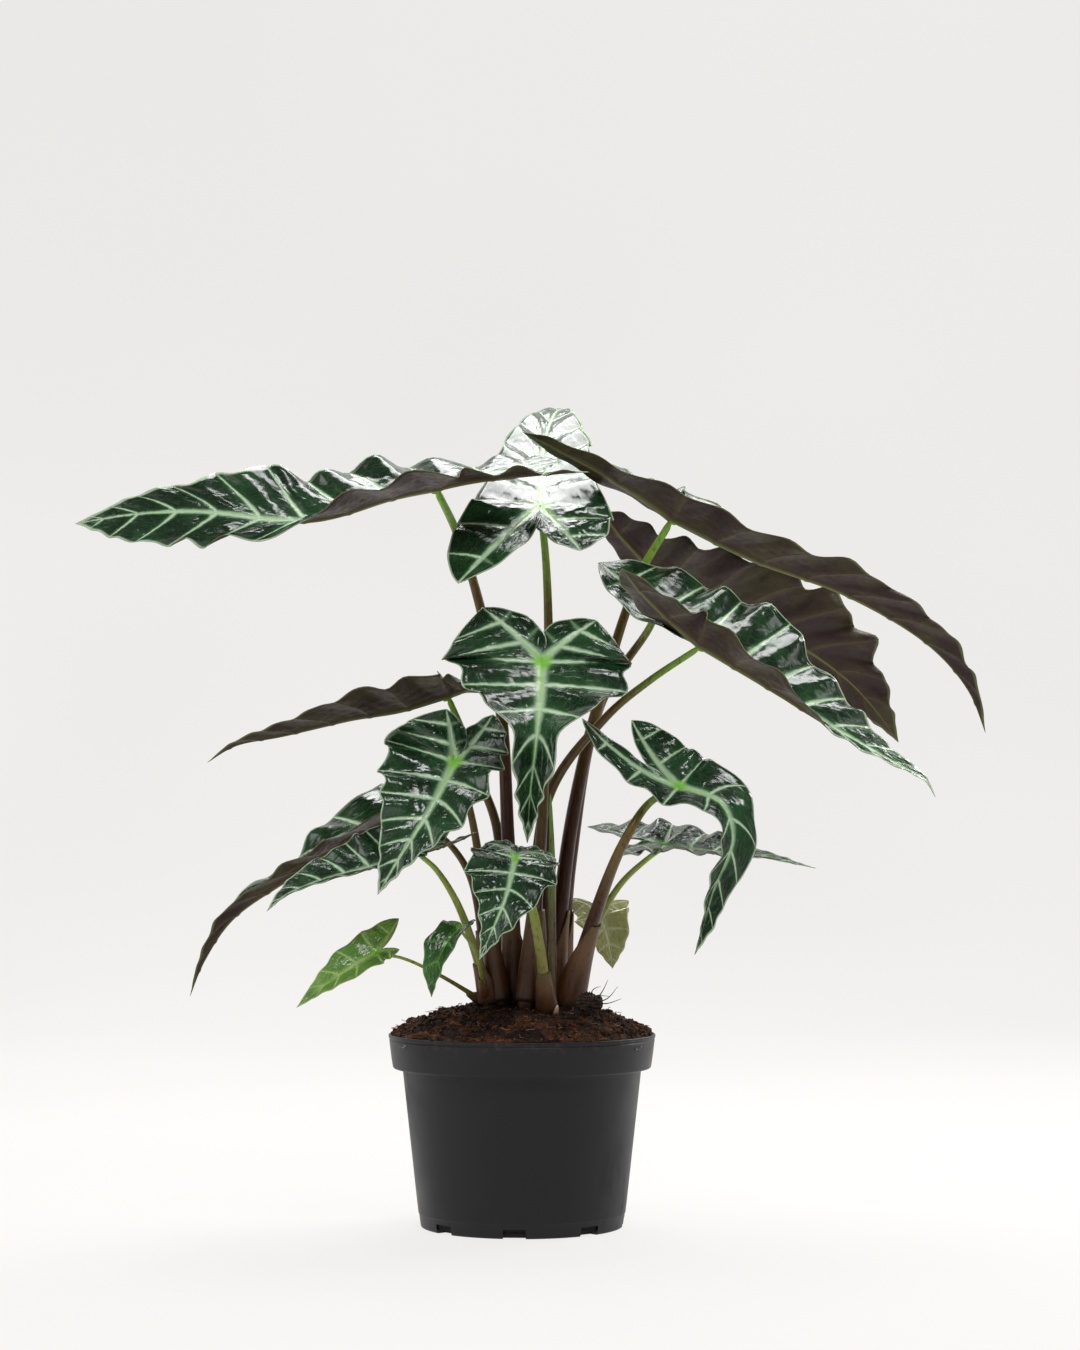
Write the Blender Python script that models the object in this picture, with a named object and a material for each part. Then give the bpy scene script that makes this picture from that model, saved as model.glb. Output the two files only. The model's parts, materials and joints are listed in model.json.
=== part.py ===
"""Potted alocasia: a plastic nursery pot filled with peat, the corm and root ball in it,
and the crown with its petioles and arrow-shaped, ruffled blades.

Metres, +Z up, origin at the centre of the pot's base, the plant's front towards -Y.
Points of the plant are in millimetres from the top of the soil mound on the pot's axis.
"""
import math
from dataclasses import dataclass

import bpy
import numpy as np

MM = 0.001
CLEARANCE = 0.0004          # air left between two pieces that touch on the real thing

# Pot
RIM_RADIUS = 0.095
POT_HEIGHT = 0.136
COLLAR_HEIGHT = 0.0240
COLLAR_TAPER = 0.003        # how much the collar narrows from the rim down
COLLAR_STEP = 0.007         # how far the collar stands out over the body
BODY_TAPER = 0.0125         # how much the body narrows from collar to base
WALL = 0.0016
FLOOR = 0.0024
EDGE_ROUND = 0.0016         # rounding of the base corner and the collar's lower edge
RIM_LIP = 0.0009            # bead round the very top of the rim
FOOT_HEIGHT = 0.010         # the slightly smaller ring at the bottom of the body
FOOT_STEP = 0.0005
NOTCH_COUNT = 8
NOTCH_WIDTH = 0.017
NOTCH_HEIGHT = 0.0065
NOTCH_DEPTH = 0.009         # how far a drain notch reaches in under the floor's edge
NOTCH_FIRST = math.radians(-94)
POT_SIDES = 48

# Soil and what is in it
SOIL_EDGE_DROP = 0.001      # the soil's edge below the rim
SOIL_MOUND = 0.022          # how much the middle stands above the edge
SOIL_LUMP = 0.0012          # height of the coarse unevenness
ROOT_FOOT_RADIUS = 0.034
ROOT_DEPTH = 0.085          # from the top of the corm's seat down to the end of the root ball
CORM_HEIGHT = 0.022
CORM_SINK = 0.004           # the corm's shoulders below the top of the mound
CROWN_CENTRE = (0.008, 0.002)
CROWN_RADIUS = 0.041        # the plate that the sheaths' feet grow from
CORM_SHOULDER = 0.005       # how far the corm reaches out past that plate
CROWN_PLATE = 0.006
STUB_PLACE = (0.047, -0.046)
STUB_RADIUS = 0.0065
STUB_LENGTH = 0.017

# Leaves
BLADE_THICKNESS = 0.0012
SINUS_SHARE = 0.05          # how far behind the junction the two halves stay joined
SCALLOP = 0.05              # depth of the scallops between vein ends
DRIFT = 0.04                # slow unevenness along the margin
VEIN_CROWDING = 1.15        # veins stand closer together towards the tip
VEIN_SWEEP = 0.55           # how far a vein leans towards the tip on its way out
STALK_SIDES = 8
STALK_STEPS = 9
STALK_SHORT = 0.0035        # the stalk ends this far from the blade's junction

LEAF_GREEN = (0.012, 0.040, 0.018, 1.0)
YOUNG_GREEN = (0.12, 0.26, 0.045, 1.0)
PALE_GREEN = (0.28, 0.36, 0.10, 1.0)
STALK_BROWN = (0.085, 0.035, 0.016, 1.0)
STALK_OLIVE = (0.18, 0.20, 0.035, 1.0)
POT_CHARCOAL = (0.028, 0.029, 0.031, 1.0)
PEAT_BROWN = (0.040, 0.018, 0.009, 1.0)
CORM_BROWN = (0.060, 0.030, 0.016, 1.0)
ROOT_TAN = (0.20, 0.12, 0.06, 1.0)


@dataclass
class Leaf:
    """One leaf. Lists run from the stalk's junction to the tip, evenly spaced; left and right are
    the leaf's own, seen from above with the tip ahead. Lengths in millimetres, folds in degrees."""
    name: str
    rib: list
    face: list
    width_l: list
    width_r: list
    fold_l: list
    fold_r: list
    lobe_l: tuple
    lobe_r: tuple
    stalk: list
    stalk_r: tuple
    veins: int = 7
    lobe_veins: int = 3
    turn: float = 20.0
    fullness: float = 0.9
    inner: float = 0.2
    ruffle: float = 0.10
    parts_at: float = 52        # height above the mound where its sheath ends and the stalk is free


LEAVES = [
    Leaf("long_left", veins=9, lobe_veins=3, turn=20, fullness=0.6, inner=0.25, ruffle=0.1,
         rib=[(-60, -40, 364), (-89, -50, 357), (-146, -60, 340), (-225, -60, 346), (-267, -55, 345),
              (-314, -45, 339)],
         face=[(0, -0.1, 1), (0, -0.3, 0.9), (0, -0.6, 0.8), (0, -0.85, 0.5), (0, -0.95, 0.35),
              (0, -0.95, 0.35), (0, -0.95, 0.35)],
         width_l=[50, 46, 34, 18, 25, 22, 0], width_r=[55, 52, 46, 42, 24, 14, 0],
         fold_l=[16, 30, 44, 0, 0, 5, 10], fold_r=[20, 20, 12, 5, 5, 5, 10],
         lobe_l=(47, -85, 371), lobe_r=(29, 10, 390),
         stalk=[(-5, -4, 3), (-10, -4, 118), (-16, -2, 216), (-34, 4, 298),
              (-47, 0, 337)], stalk_r=(7.5, 4.2, 2.6)),
    Leaf("long_right", veins=9, lobe_veins=3, turn=18, fullness=0.6, inner=0.2, ruffle=0.1,
         rib=[(109, 40, 350), (167, 45, 322), (240, 50, 295), (299, 55, 259), (328, 60, 226),
              (341, 65, 195)],
         face=[(0.35, 0.1, 0.9), (0.4, 0.1, 0.9), (0.5, 0.1, 0.9), (0.6, 0.1, 0.8), (0.8, 0.1, 0.6),
              (0.95, 0.1, 0.3)],
         width_l=[52, 46, 38, 34, 26, 14, 0], width_r=[30, 34, 34, 32, 27, 14, 0],
         fold_l=[46, 34, 26, 24, 25, 30, 30], fold_r=[30, 28, 28, 28, 30, 35, 35],
         lobe_l=(66, 120, 401), lobe_r=(1, -50, 403),
         stalk=[(20, 12, 2), (36, 22, 131), (56, 32, 218), (86, 48, 310)], stalk_r=(8, 4.6, 2.6)),
    Leaf("top", veins=6, lobe_veins=3, turn=25, fullness=1, inner=0.3, ruffle=0.1,
         rib=[(13, 4, 357), (14, 56, 387), (17, 115, 420), (25, 165, 445), (33, 200, 453)],
         face=[(0, -0.6, 0.8), (0, -0.5, 0.85), (0, -0.45, 0.9), (0, -0.3, 0.9)],
         width_l=[45, 39, 28, 18, 0], width_r=[47, 41, 34, 20, 0],
         fold_l=[8, 10, 10], fold_r=[3, 8, 10],
         lobe_l=(-44, -70, 295), lobe_r=(41, -45, 320),
         stalk=[(16, 10, 2), (17, 7, 152), (19, 10, 257), (17, 10, 318)], stalk_r=(7.5, 4.2, 2.4)),
    Leaf("back_right", veins=8, lobe_veins=3, turn=15, fullness=0.7, inner=0.3, ruffle=0.15,
         rib=[(109, 110, 311), (168, 130, 288), (211, 140, 264), (250, 150, 236), (273, 155, 211),
              (288, 160, 190)],
         face=[(0.4, 0.1, 0.9), (0.4, 0.5, 0.75), (0.4, 0.75, 0.5), (0.5, 0.75, 0.4)],
         width_l=[40, 30, 20, 22, 14, 0], width_r=[46, 48, 50, 44, 22, 0],
         fold_l=[10, -5, -20, -10], fold_r=[35, 28, 12, 5],
         lobe_l=(67, 180, 359), lobe_r=(59, 85, 360),
         stalk=[(26, 28, 1), (35, 42, 102), (57, 55, 215), (95, 80, 275)], stalk_r=(7.5, 4.2, 2.2)),
    Leaf("mid_right", veins=8, lobe_veins=3, turn=15, fullness=0.9, inner=0.3, ruffle=0.1,
         rib=[(125, -40, 253), (167, -50, 227), (216, -50, 197), (258, -45, 173), (283, -40, 159),
              (291, -35, 147)],
         face=[(0.5, -0.2, 0.85), (0.5, -0.3, 0.8), (0.45, -0.45, 0.75), (0.4, -0.5, 0.75),
              (0.8, -0.4, 0.4)],
         width_l=[64, 66, 52, 38, 24, 10, 0], width_r=[36, 34, 28, 12, 8, 4, 0],
         fold_l=[38, 36, 26, 16, 10, 8], fold_r=[42, 40, 34, 0, 0, 5],
         lobe_l=(55, 20, 317), lobe_r=(69, -100, 303),
         stalk=[(10, -10, 3), (18, -16, 145), (59, -26, 203), (90, -32, 229)], stalk_r=(7, 3.6, 2.2)),
    Leaf("heart", veins=7, lobe_veins=3, turn=30, fullness=1.05, inner=0.26, ruffle=0.045,
         rib=[(14, -50, 241), (13, -75, 214), (10, -95, 182), (6, -90, 148), (4, -85, 115)],
         face=[(0, -0.9, 0.45), (0, -0.9, 0.45), (0, -0.95, 0.2), (0, -1, 0)],
         width_l=[60, 60, 50, 25, 19, 12, 0], width_r=[66, 57, 46, 25, 19, 12, 0],
         fold_l=[5, 8, 16, 46, 52, 55, 60], fold_r=[5, 8, 16, 46, 52, 55, 60],
         lobe_l=(53, -30, 272), lobe_r=(-28, -30, 281),
         stalk=[(4, -24, 4), (13, -34, 110), (16, -36, 173), (16, -38, 215)], stalk_r=(7, 4, 2.2)),
    Leaf("mid_left", veins=7, lobe_veins=3, turn=15, fullness=0.9, inner=0.3, ruffle=0.1,
         rib=[(-53, 0, 219), (-87, 0, 209), (-123, 0, 203), (-173, 0, 191), (-205, 0, 184),
              (-225, 0, 172)],
         face=[(0, 0, 1), (0, 0, 1), (0, 0, 1), (-0.4, 0, 0.9)],
         width_l=[38, 36, 32, 22, 10, 0], width_r=[36, 34, 28, 20, 10, 0],
         fold_l=[30, 30, 28, 30], fold_r=[10, 10, 12, 15],
         lobe_l=(-25, -25, 228), lobe_r=(-26, 50, 236),
         stalk=[(-12, 10, 2), (-18, 14, 124), (-30, 12, 159), (-43, 8, 195)], stalk_r=(6.5, 3.6, 2.2)),
    Leaf("front_left", veins=7, lobe_veins=3, turn=26, fullness=0.9, inner=0.2, ruffle=0.1,
         rib=[(-47, -50, 171), (-63, -80, 138), (-84, -95, 104), (-98, -100, 80)],
         face=[(-0.1, -0.9, 0.4), (-0.1, -0.9, 0.4), (-0.1, -0.95, 0.3)],
         width_l=[36, 34, 24, 10, 0], width_r=[50, 44, 32, 16, 0],
         fold_l=[15, 15, 10], fold_r=[10, 10, 10],
         lobe_l=(-20, -40, 205), lobe_r=(-53, -40, 209),
         stalk=[(-17, -18, 4), (-28, -30, 89), (-35, -30, 131), (-42, -36, 159)], stalk_r=(6.5, 3.2, 2)),
    Leaf("droop_left", veins=8, lobe_veins=3, turn=15, fullness=0.6, inner=0.3, ruffle=0.1, parts_at=40,
         rib=[(-83, -12, 136), (-122, -22, 118), (-163, -30, 91), (-203, -35, 62), (-222, -40, 33),
              (-232, -40, 8)],
         face=[(-0.3, -0.3, 0.9), (-0.35, -0.2, 0.9), (-0.5, 0.3, 0.7), (-0.6, 0.5, 0.5),
              (-0.7, 0.5, 0.4)],
         width_l=[26, 25, 22, 18, 14, 8, 0], width_r=[42, 36, 28, 22, 16, 8, 0],
         fold_l=[30, 28, 14, 5, 5, 5], fold_r=[25, 22, 30, 60, 60, 50],
         lobe_l=(-40, -18, 152), lobe_r=(-42, 35, 163),
         stalk=[(-23, -2, 3), (-36, -6, 88), (-51, -5, 113), (-69, -6, 127)], stalk_r=(5.5, 2.8, 1.8)),
    Leaf("low_left", veins=7, lobe_veins=3, turn=18, fullness=0.8, inner=0.12, ruffle=0.1, parts_at=24,
         rib=[(-71, -60, 108), (-105, -70, 98), (-139, -70, 89), (-163, -70, 79), (-176, -70, 68)],
         face=[(-0.1, -0.55, 0.8), (-0.1, -0.6, 0.8), (-0.2, -0.6, 0.75)],
         width_l=[18, 14, 10, 5, 0], width_r=[36, 34, 26, 14, 0],
         fold_l=[30, 30, 20], fold_r=[10, 12, 12],
         lobe_l=(-30, -90, 123), lobe_r=(-52, -20, 129),
         stalk=[(-23, -20, 4), (-33, -36, 40), (-46, -50, 75), (-60, -55, 97)], stalk_r=(5.5, 2.8, 1.7)),
    Leaf("low_front", veins=6, lobe_veins=3, turn=26, fullness=0.9, inner=0.2, ruffle=0.1, parts_at=24,
         rib=[(-4, -80, 105), (-11, -110, 77), (-21, -120, 53), (-28, -125, 37)],
         face=[(0, -0.85, 0.5), (0, -0.9, 0.45), (0, -0.95, 0.3)],
         width_l=[29, 31, 20, 9, 0], width_r=[30, 31, 21, 9, 0],
         fold_l=[10, 10, 10], fold_r=[10, 10, 10],
         lobe_l=(24, -60, 104), lobe_r=(-25, -60, 115),
         stalk=[(18, -34, -2), (13, -52, 40), (7, -60, 72), (2, -68, 93)], stalk_r=(5.5, 3.4, 2)),
    Leaf("small_left", veins=5, lobe_veins=2, turn=16, fullness=0.8, inner=0.1, ruffle=0.04, parts_at=10,
         rib=[(-102, -50, 38), (-119, -55, 28), (-140, -60, 14), (-156, -60, 1)],
         face=[(-0.2, -0.8, 0.6), (-0.2, -0.8, 0.6)],
         width_l=[12, 10, 6, 0], width_r=[19, 16, 8, 0],
         fold_l=[10, 10], fold_r=[15, 15],
         lobe_l=(-85, -52, 41), lobe_r=(-86, -40, 62),
         stalk=[(-28, -14, 3), (-58, -30, 22), (-85, -45, 35)], stalk_r=(2.2, 1.3, 1)),
    Leaf("small_front", veins=4, lobe_veins=2, turn=16, fullness=0.8, inner=0.1, ruffle=0.04,
              parts_at=18,
         rib=[(-43, -60, 56), (-52, -70, 45), (-59, -75, 28), (-62, -75, 9)],
         face=[(-0.4, -0.8, 0.4), (-0.4, -0.8, 0.4)],
         width_l=[13, 12, 8, 0], width_r=[13, 14, 9, 0],
         fold_l=[30, 30], fold_r=[20, 20],
         lobe_l=(-37, -50, 58), lobe_r=(-53, -50, 60),
         stalk=[(-25, -22, 4), (-33, -55, 41)], stalk_r=(2, 1.3, 1)),
    Leaf("twisted_right", veins=7, lobe_veins=3, turn=18, fullness=0.9, inner=0.2, ruffle=0.1,
         rib=[(109, -80, 154), (137, -95, 142), (144, -100, 119), (130, -100, 81), (123, -100, 56),
              (118, -100, 39)],
         face=[(0.1, -0.75, 0.65), (0.3, -0.8, 0.5), (0.6, -0.7, 0.2), (0.5, -0.8, 0), (0.5, -0.8, 0)],
         width_l=[31, 25, 18, 16, 12, 8, 0], width_r=[20, 18, 16, 14, 10, 6, 0],
         fold_l=[5, 15, 25, 30, 40, 50], fold_r=[5, 15, 25, 30, 40, 50],
         lobe_l=(77, -40, 201), lobe_r=(42, -80, 201),
         stalk=[(33, -12, 0), (48, -30, 53), (70, -70, 114), (89, -64, 143)], stalk_r=(9, 4.2, 2.1)),
    Leaf("low_right", veins=7, lobe_veins=3, turn=18, fullness=0.8, inner=0.15, ruffle=0.1, parts_at=30,
         rib=[(101, -20, 113), (136, -25, 108), (171, -30, 105), (207, -30, 97)],
         face=[(0.1, -0.3, 0.95), (0.1, -0.3, 0.95)],
         width_l=[36, 30, 16, 6, 0], width_r=[26, 20, 12, 6, 0],
         fold_l=[12, 12], fold_r=[12, 12],
         lobe_l=(47, 30, 126), lobe_r=(64, -55, 106),
         stalk=[(36, 4, 2), (50, 4, 49), (70, -6, 85), (90, -12, 104)], stalk_r=(5, 2.6, 1.7)),
    Leaf("pale_back", veins=4, lobe_veins=2, turn=20, fullness=0.7, inner=0.1, ruffle=0.03, parts_at=10,
         rib=[(58, 70, 61), (63, 65, 44), (66, 60, 22)],
         face=[(0, -0.9, 0.4), (0, -0.9, 0.4)],
         width_l=[20, 17, 10, 0], width_r=[20, 14, 9, 0],
         fold_l=[5, 5], fold_r=[5, 5],
         lobe_l=(79, 80, 71), lobe_r=(35, 80, 73),
         stalk=[(36, 20, 1), (47, 50, 25), (53, 83, 46)], stalk_r=(2.4, 1.4, 1)),
]

SPEAR = [(21, -22, 4), (21, -31, 60), (21, -40, 110), (20, -44, 150)]
SPEAR_R = (4.0, 3.2, 0.8)
SPEAR_PARTS_AT = 52


# ---------------------------------------------------------------- curves

def unit(v):
    return v / np.maximum(np.linalg.norm(v, axis=-1, keepdims=True), 1e-12)


def smooth_step(x, low, high):
    x = np.clip((x - low) / (high - low), 0.0, 1.0)
    return x * x * (3 - 2 * x)


def hermite(start, end, slope_start, slope_end, x):
    return ((2 * x**3 - 3 * x**2 + 1) * start + (x**3 - 2 * x**2 + x) * slope_start
            + (-2 * x**3 + 3 * x**2) * end + (x**3 - x**2) * slope_end)


class Path:
    """A smooth curve through points, read by the share of its length."""

    def __init__(self, points):
        self.points = np.asarray(points, float)
        steps = np.sqrt(np.linalg.norm(np.diff(self.points, axis=0), axis=1))
        self.knots = np.concatenate([[0], np.cumsum(steps)])
        slopes = np.diff(self.points, axis=0) / steps[:, None]
        self.slopes = np.vstack([slopes[:1], slopes[1:], slopes[-1:]])
        for i in range(1, len(self.points) - 1):
            before, after = steps[i - 1], steps[i]
            self.slopes[i] = (slopes[i - 1] * after + slopes[i] * before) / (before + after)
        fine = np.linspace(0, self.knots[-1], 400)
        pieces = np.linalg.norm(np.diff(self.raw(fine), axis=0), axis=1)
        run = np.concatenate([[0], np.cumsum(pieces)])
        self.length = run[-1]
        self.fine, self.run = fine, run / run[-1]

    def raw(self, u):
        u = np.asarray(u, float)
        i = np.clip(np.searchsorted(self.knots, u, side="right") - 1, 0, len(self.knots) - 2)
        gap = self.knots[i + 1] - self.knots[i]
        x = ((u - self.knots[i]) / gap)[..., None]
        gap = gap[..., None]
        return hermite(self.points[i], self.points[i + 1],
                       gap * self.slopes[i], gap * self.slopes[i + 1], x)

    def at(self, share):
        return self.raw(np.interp(share, self.run, self.fine))

    def direction(self, share):
        share = np.asarray(share, float)
        step = 0.004
        return unit(self.at(np.clip(share + step, 0, 1)) - self.at(np.clip(share - step, 0, 1)))


def along(values, share):
    """Evenly spaced values read at a share of the way, smoothly and without overshoot."""
    values = np.asarray(values, float)
    n = len(values) - 1
    rise = np.diff(values) * n
    slope = np.concatenate([rise[:1], np.zeros(n - 1), rise[-1:]])
    for i in range(1, n):
        if rise[i - 1] * rise[i] > 0:
            slope[i] = 2 / (1 / rise[i - 1] + 1 / rise[i])
    x = np.clip(np.asarray(share, float), 0, 1) * n
    i = np.minimum(x.astype(int), n - 1)
    return hermite(values[i], values[i + 1], slope[i] / n, slope[i + 1] / n, x - i)


def blend_along(vectors, share):
    vectors = np.asarray(vectors, float)
    x = np.clip(np.asarray(share, float), 0, 1) * (len(vectors) - 1)
    i = np.minimum(x.astype(int), len(vectors) - 2)
    x = smooth_step(x - i, 0, 1)[..., None]
    return vectors[i] * (1 - x) + vectors[i + 1] * x


# ---------------------------------------------------------------- the leaf's surface

class Blade:
    """The middle surface of one blade, as six grids: on each side the blade from the junction to
    the tip, the outer half of the basal lobe and its inner half beside the sinus."""

    def __init__(self, leaf, top):
        self.leaf = leaf
        self.rib = Path(place(leaf.rib, top))
        self.lobes = {-1: place([leaf.lobe_l], top)[0], 1: place([leaf.lobe_r], top)[0]}
        self.widths = {-1: np.array(leaf.width_l) * MM, 1: np.array(leaf.width_r) * MM}
        self.folds = {-1: np.radians(leaf.fold_l), 1: np.radians(leaf.fold_r)}
        self.seed = 0.7 * len(leaf.name) + leaf.rib[0][0] * 0.11

    def frame(self, share):
        """Direction of the midrib, the upper side's normal and the leaf's own right."""
        ahead = self.rib.direction(share)
        face = blend_along(self.leaf.face, share)
        normal = unit(face - (face * ahead).sum(-1, keepdims=True) * ahead)
        return ahead, normal, np.cross(ahead, normal)

    def half_frame(self, share, side):
        """The directions out along one folded half and off its upper surface."""
        _, normal, right = self.frame(share)
        fold = along(self.folds[side], share)[..., None]
        return (side * np.cos(fold) * right + np.sin(fold) * normal,
                -side * np.sin(fold) * right + np.cos(fold) * normal)

    def ruffle(self, vein, across, side, way):
        wide = self.widths[side].max()
        wave = -self.leaf.ruffle * np.cos(2 * np.pi * vein)
        drift = DRIFT * np.sin(2 * np.pi * way * vein * 0.37 + side + self.seed)
        return wide * across**2 * (wave + drift)

    def scallop(self, vein, across):
        return 1 + SCALLOP * np.cos(2 * np.pi * vein) * across

    def main(self, side, per_vein, columns):
        leaf, widths = self.leaf, self.widths[side]
        vein = np.arange(leaf.veins * per_vein + 1)[:, None] / per_vein
        across = np.linspace(0, 1, columns + 1)[None, :]
        start = 1 - (1 - vein / leaf.veins) ** VEIN_CROWDING
        end = start + VEIN_SWEEP * start * (1 - start)
        share = start + (end - start) * across**1.3
        wide = along(widths, end)
        out, up = self.half_frame(share, side)
        lift = self.ruffle(vein, across, side, 1) * wide / widths.max()
        lift = lift * (1 - smooth_step(start, 0.75, 1.0))
        reach = wide * across * self.scallop(vein, across)
        return self.rib.at(share) + reach[..., None] * out + lift[..., None] * up

    def lobe(self, side, per_vein, columns):
        """The outer and the inner half of one basal lobe, both from the lobe's own rib."""
        leaf, widths = self.leaf, self.widths[side]
        root, tip = self.rib.at(0.0), self.lobes[side]
        ahead, _, _ = self.frame(0.0)
        out, up = self.half_frame(0.0, side)
        turn = math.radians(leaf.turn)
        back = -math.cos(turn) * ahead + math.sin(turn) * out
        outward = math.sin(turn) * ahead + math.cos(turn) * out
        reach = np.linalg.norm(tip - root)
        handle = root + back * reach * 0.33
        far_handle = tip - (tip - (root + back * reach * 0.4)) * 0.33

        def rib(share):
            share = np.asarray(share)[..., None]
            return ((1 - share) ** 3 * root + 3 * share * (1 - share) ** 2 * handle
                    + 3 * share**2 * (1 - share) * far_handle + share**3 * tip)

        shares = np.arange(leaf.lobe_veins * per_vein + 1) / per_vein / leaf.lobe_veins
        step = 1e-3
        way = unit(rib(np.clip(shares + step, 0, 1)) - rib(np.clip(shares - step, 0, 1)))
        way[0] = back
        normal = unit(up - (up * way).sum(-1, keepdims=True) * way)
        outs = unit(np.cross(normal, way))
        if outs[0] @ outward < 0:
            outs = -outs
        base = float(along(widths, 0.0))
        share = shares[:, None]
        vein = share * leaf.lobe_veins
        across = np.linspace(0, 1, columns + 1)[None, :]
        full = leaf.fullness + (1 - leaf.fullness) * (1 - smooth_step(share, 0, 0.4))
        scallop = 1 + SCALLOP * np.cos(2 * np.pi * vein) * across * (1 - share)
        reach_out = base * math.cos(turn) * np.maximum(1 - share**2.2, 0) ** 0.9 * scallop * full
        reach_on = base * math.sin(turn) * (1 - share) * across * scallop
        lift = self.ruffle(vein, across, side, -1) * base / widths.max() * (1 - share**1.5)
        along_rib = rib(shares)[:, None]
        outer = (along_rib + reach_on[..., None] * way[:, None]
                 + (across * reach_out)[..., None] * outs[:, None]
                 + lift[..., None] * normal[:, None])

        across = np.linspace(0, 1, max(2, columns - 1) + 1)[None, :]
        sinus = SINUS_SHARE * self.rib.length
        widest = max(self.widths[-1][0], self.widths[1][0])
        reach_in = (sinus * math.sin(turn) * (1 - share)
                    + leaf.inner * widest * np.sin(np.pi * share**0.8))
        reach_on = sinus * math.cos(turn) * (1 - share) * across
        lift = 0.5 * leaf.ruffle * widest * across**2 * (1 - np.cos(2 * np.pi * vein)) * (1 - share)
        inner = (along_rib + reach_on[..., None] * way[:, None]
                 - (across * reach_in)[..., None] * outs[:, None]
                 + lift[..., None] * normal[:, None])
        return outer, inner

    def grids(self, per_vein, columns):
        """Grids with the sign that turns their quads' upper side to the leaf's face."""
        for side in (-1, 1):
            outer, inner = self.lobe(side, per_vein, columns)
            yield self.main(side, per_vein, columns), side
            yield outer, -side
            yield inner, side


def place(points, top):
    """Plant points, in millimetres above the soil mound's top, in metres above the base."""
    return np.array(points, float) * MM + np.array([0.0, 0.0, top])


# ---------------------------------------------------------------- meshes

def sheet_of(grids):
    """One welded sheet, as points and quads, from grids that share their edges."""
    points, quads = [], []
    for grid, sign in grids:
        rows, columns = grid.shape[:2]
        number = len(points) + np.arange(rows * columns).reshape(rows, columns)
        points.extend(grid.reshape(-1, 3))
        corners = np.stack([number[:-1, :-1], number[1:, :-1], number[1:, 1:], number[:-1, 1:]], -1)
        corners = corners.reshape(-1, 4)
        quads.extend(corners[:, ::-1] if sign > 0 else corners)
    points = np.array(points)
    _, first, index = np.unique(np.round(points / 2e-6).astype(np.int64), axis=0,
                                return_index=True, return_inverse=True)
    index = index.reshape(-1)
    faces = []
    for quad in quads:
        ring = [index[v] for v in quad]
        ring = [v for k, v in enumerate(ring) if v != ring[k - 1]]
        if len(set(ring)) == len(ring) and len(ring) > 2:
            faces.append(ring)
    return points[first], faces


def triangles_of(points, faces):
    """The faces cut into triangles, each quad along its shorter diagonal."""
    made = []
    for ring in faces:
        if len(ring) == 3:
            made.append(ring)
            continue
        a, b, c, d = ring
        if np.linalg.norm(points[a] - points[c]) <= np.linalg.norm(points[b] - points[d]):
            made += [[a, b, c], [a, c, d]]
        else:
            made += [[a, b, d], [b, c, d]]
    return made


def thicken(points, faces, thickness):
    """A closed shell of even thickness about a sheet."""
    faces = triangles_of(points, faces)
    normals = np.zeros_like(points)
    for ring in faces:
        a, b, c = points[ring]
        for v in ring:
            normals[v] += np.cross(b - a, c - a)
    normals = unit(normals)
    count = len(points)
    shell = np.vstack([points + normals * thickness / 2, points - normals * thickness / 2])
    edges = {}
    for ring in faces:
        for k, v in enumerate(ring):
            edges[(ring[k - 1], v)] = True
    solid = [list(ring) for ring in faces] + [[v + count for v in reversed(ring)] for ring in faces]
    for start, end in edges:
        if (end, start) not in edges:
            solid.append([end, start, start + count, end + count])
    return shell, solid


def tube_rings(path, radii, sides, first, last, steps):
    """Rings of points square to a path, with radii read along it."""
    shares = np.linspace(first, last, steps + 1)
    centres, ways = path.at(shares), path.direction(shares)
    side = unit(np.cross(ways[0], [0.31, 0.95, 0.02]))
    rings = []
    angles = 2 * np.pi * np.arange(sides) / sides
    for centre, way, share in zip(centres, ways, shares):
        side = unit(side - (side @ way) * way)
        other = np.cross(way, side)
        r = float(along(radii, share))
        rings.append(centre + r * (np.cos(angles)[:, None] * side + np.sin(angles)[:, None] * other))
    return rings


def skin(rings, start=None, end=None):
    """A closed solid from rings, ending in flat caps or in the points given."""
    sides = len(rings[0])
    points = [p for ring in rings for p in ring]
    faces = []
    for k in range(len(rings) - 1):
        a, b = k * sides, (k + 1) * sides
        for j in range(sides):
            n = (j + 1) % sides
            faces.append([a + j, a + n, b + n, b + j])
    last = (len(rings) - 1) * sides
    for peak, ring in ((start, range(sides - 1, -1, -1)), (end, range(last, last + sides))):
        ring = list(ring)
        if peak is None:
            faces.append(ring)
            continue
        points.append(peak)
        for k, v in enumerate(ring):
            faces.append([ring[k - 1], v, len(points) - 1])
    return np.array(points), faces


def revolve(profile, sides, centre=(0.0, 0.0)):
    """A closed solid from a profile of (radius, height) that starts and ends on the axis."""
    angles = 2 * np.pi * np.arange(sides) / sides
    rings = [np.stack([centre[0] + r * np.cos(angles), centre[1] + r * np.sin(angles),
                       np.full(sides, z)], axis=1) for r, z in profile[1:-1]]
    ends = [np.array([centre[0], centre[1], z]) for _, z in (profile[0], profile[-1])]
    return skin(rings, *ends)


def add_object(name, points, faces, material, smooth=True):
    mesh = bpy.data.meshes.new(name)
    mesh.from_pydata([tuple(p) for p in points], [], faces)
    mesh.polygons.foreach_set("use_smooth", [smooth] * len(mesh.polygons))
    mesh.update()
    obj = bpy.data.objects.new(name, mesh)
    bpy.context.scene.collection.objects.link(obj)
    mesh.materials.append(material)
    return obj


def make_material(name, color, roughness, metallic=0.0):
    material = bpy.data.materials.new(name)
    material.use_nodes = True
    shader = material.node_tree.nodes["Principled BSDF"]
    shader.inputs["Base Color"].default_value = color
    shader.inputs["Roughness"].default_value = roughness
    shader.inputs["Metallic"].default_value = metallic
    material.diffuse_color = color
    return material


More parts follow.
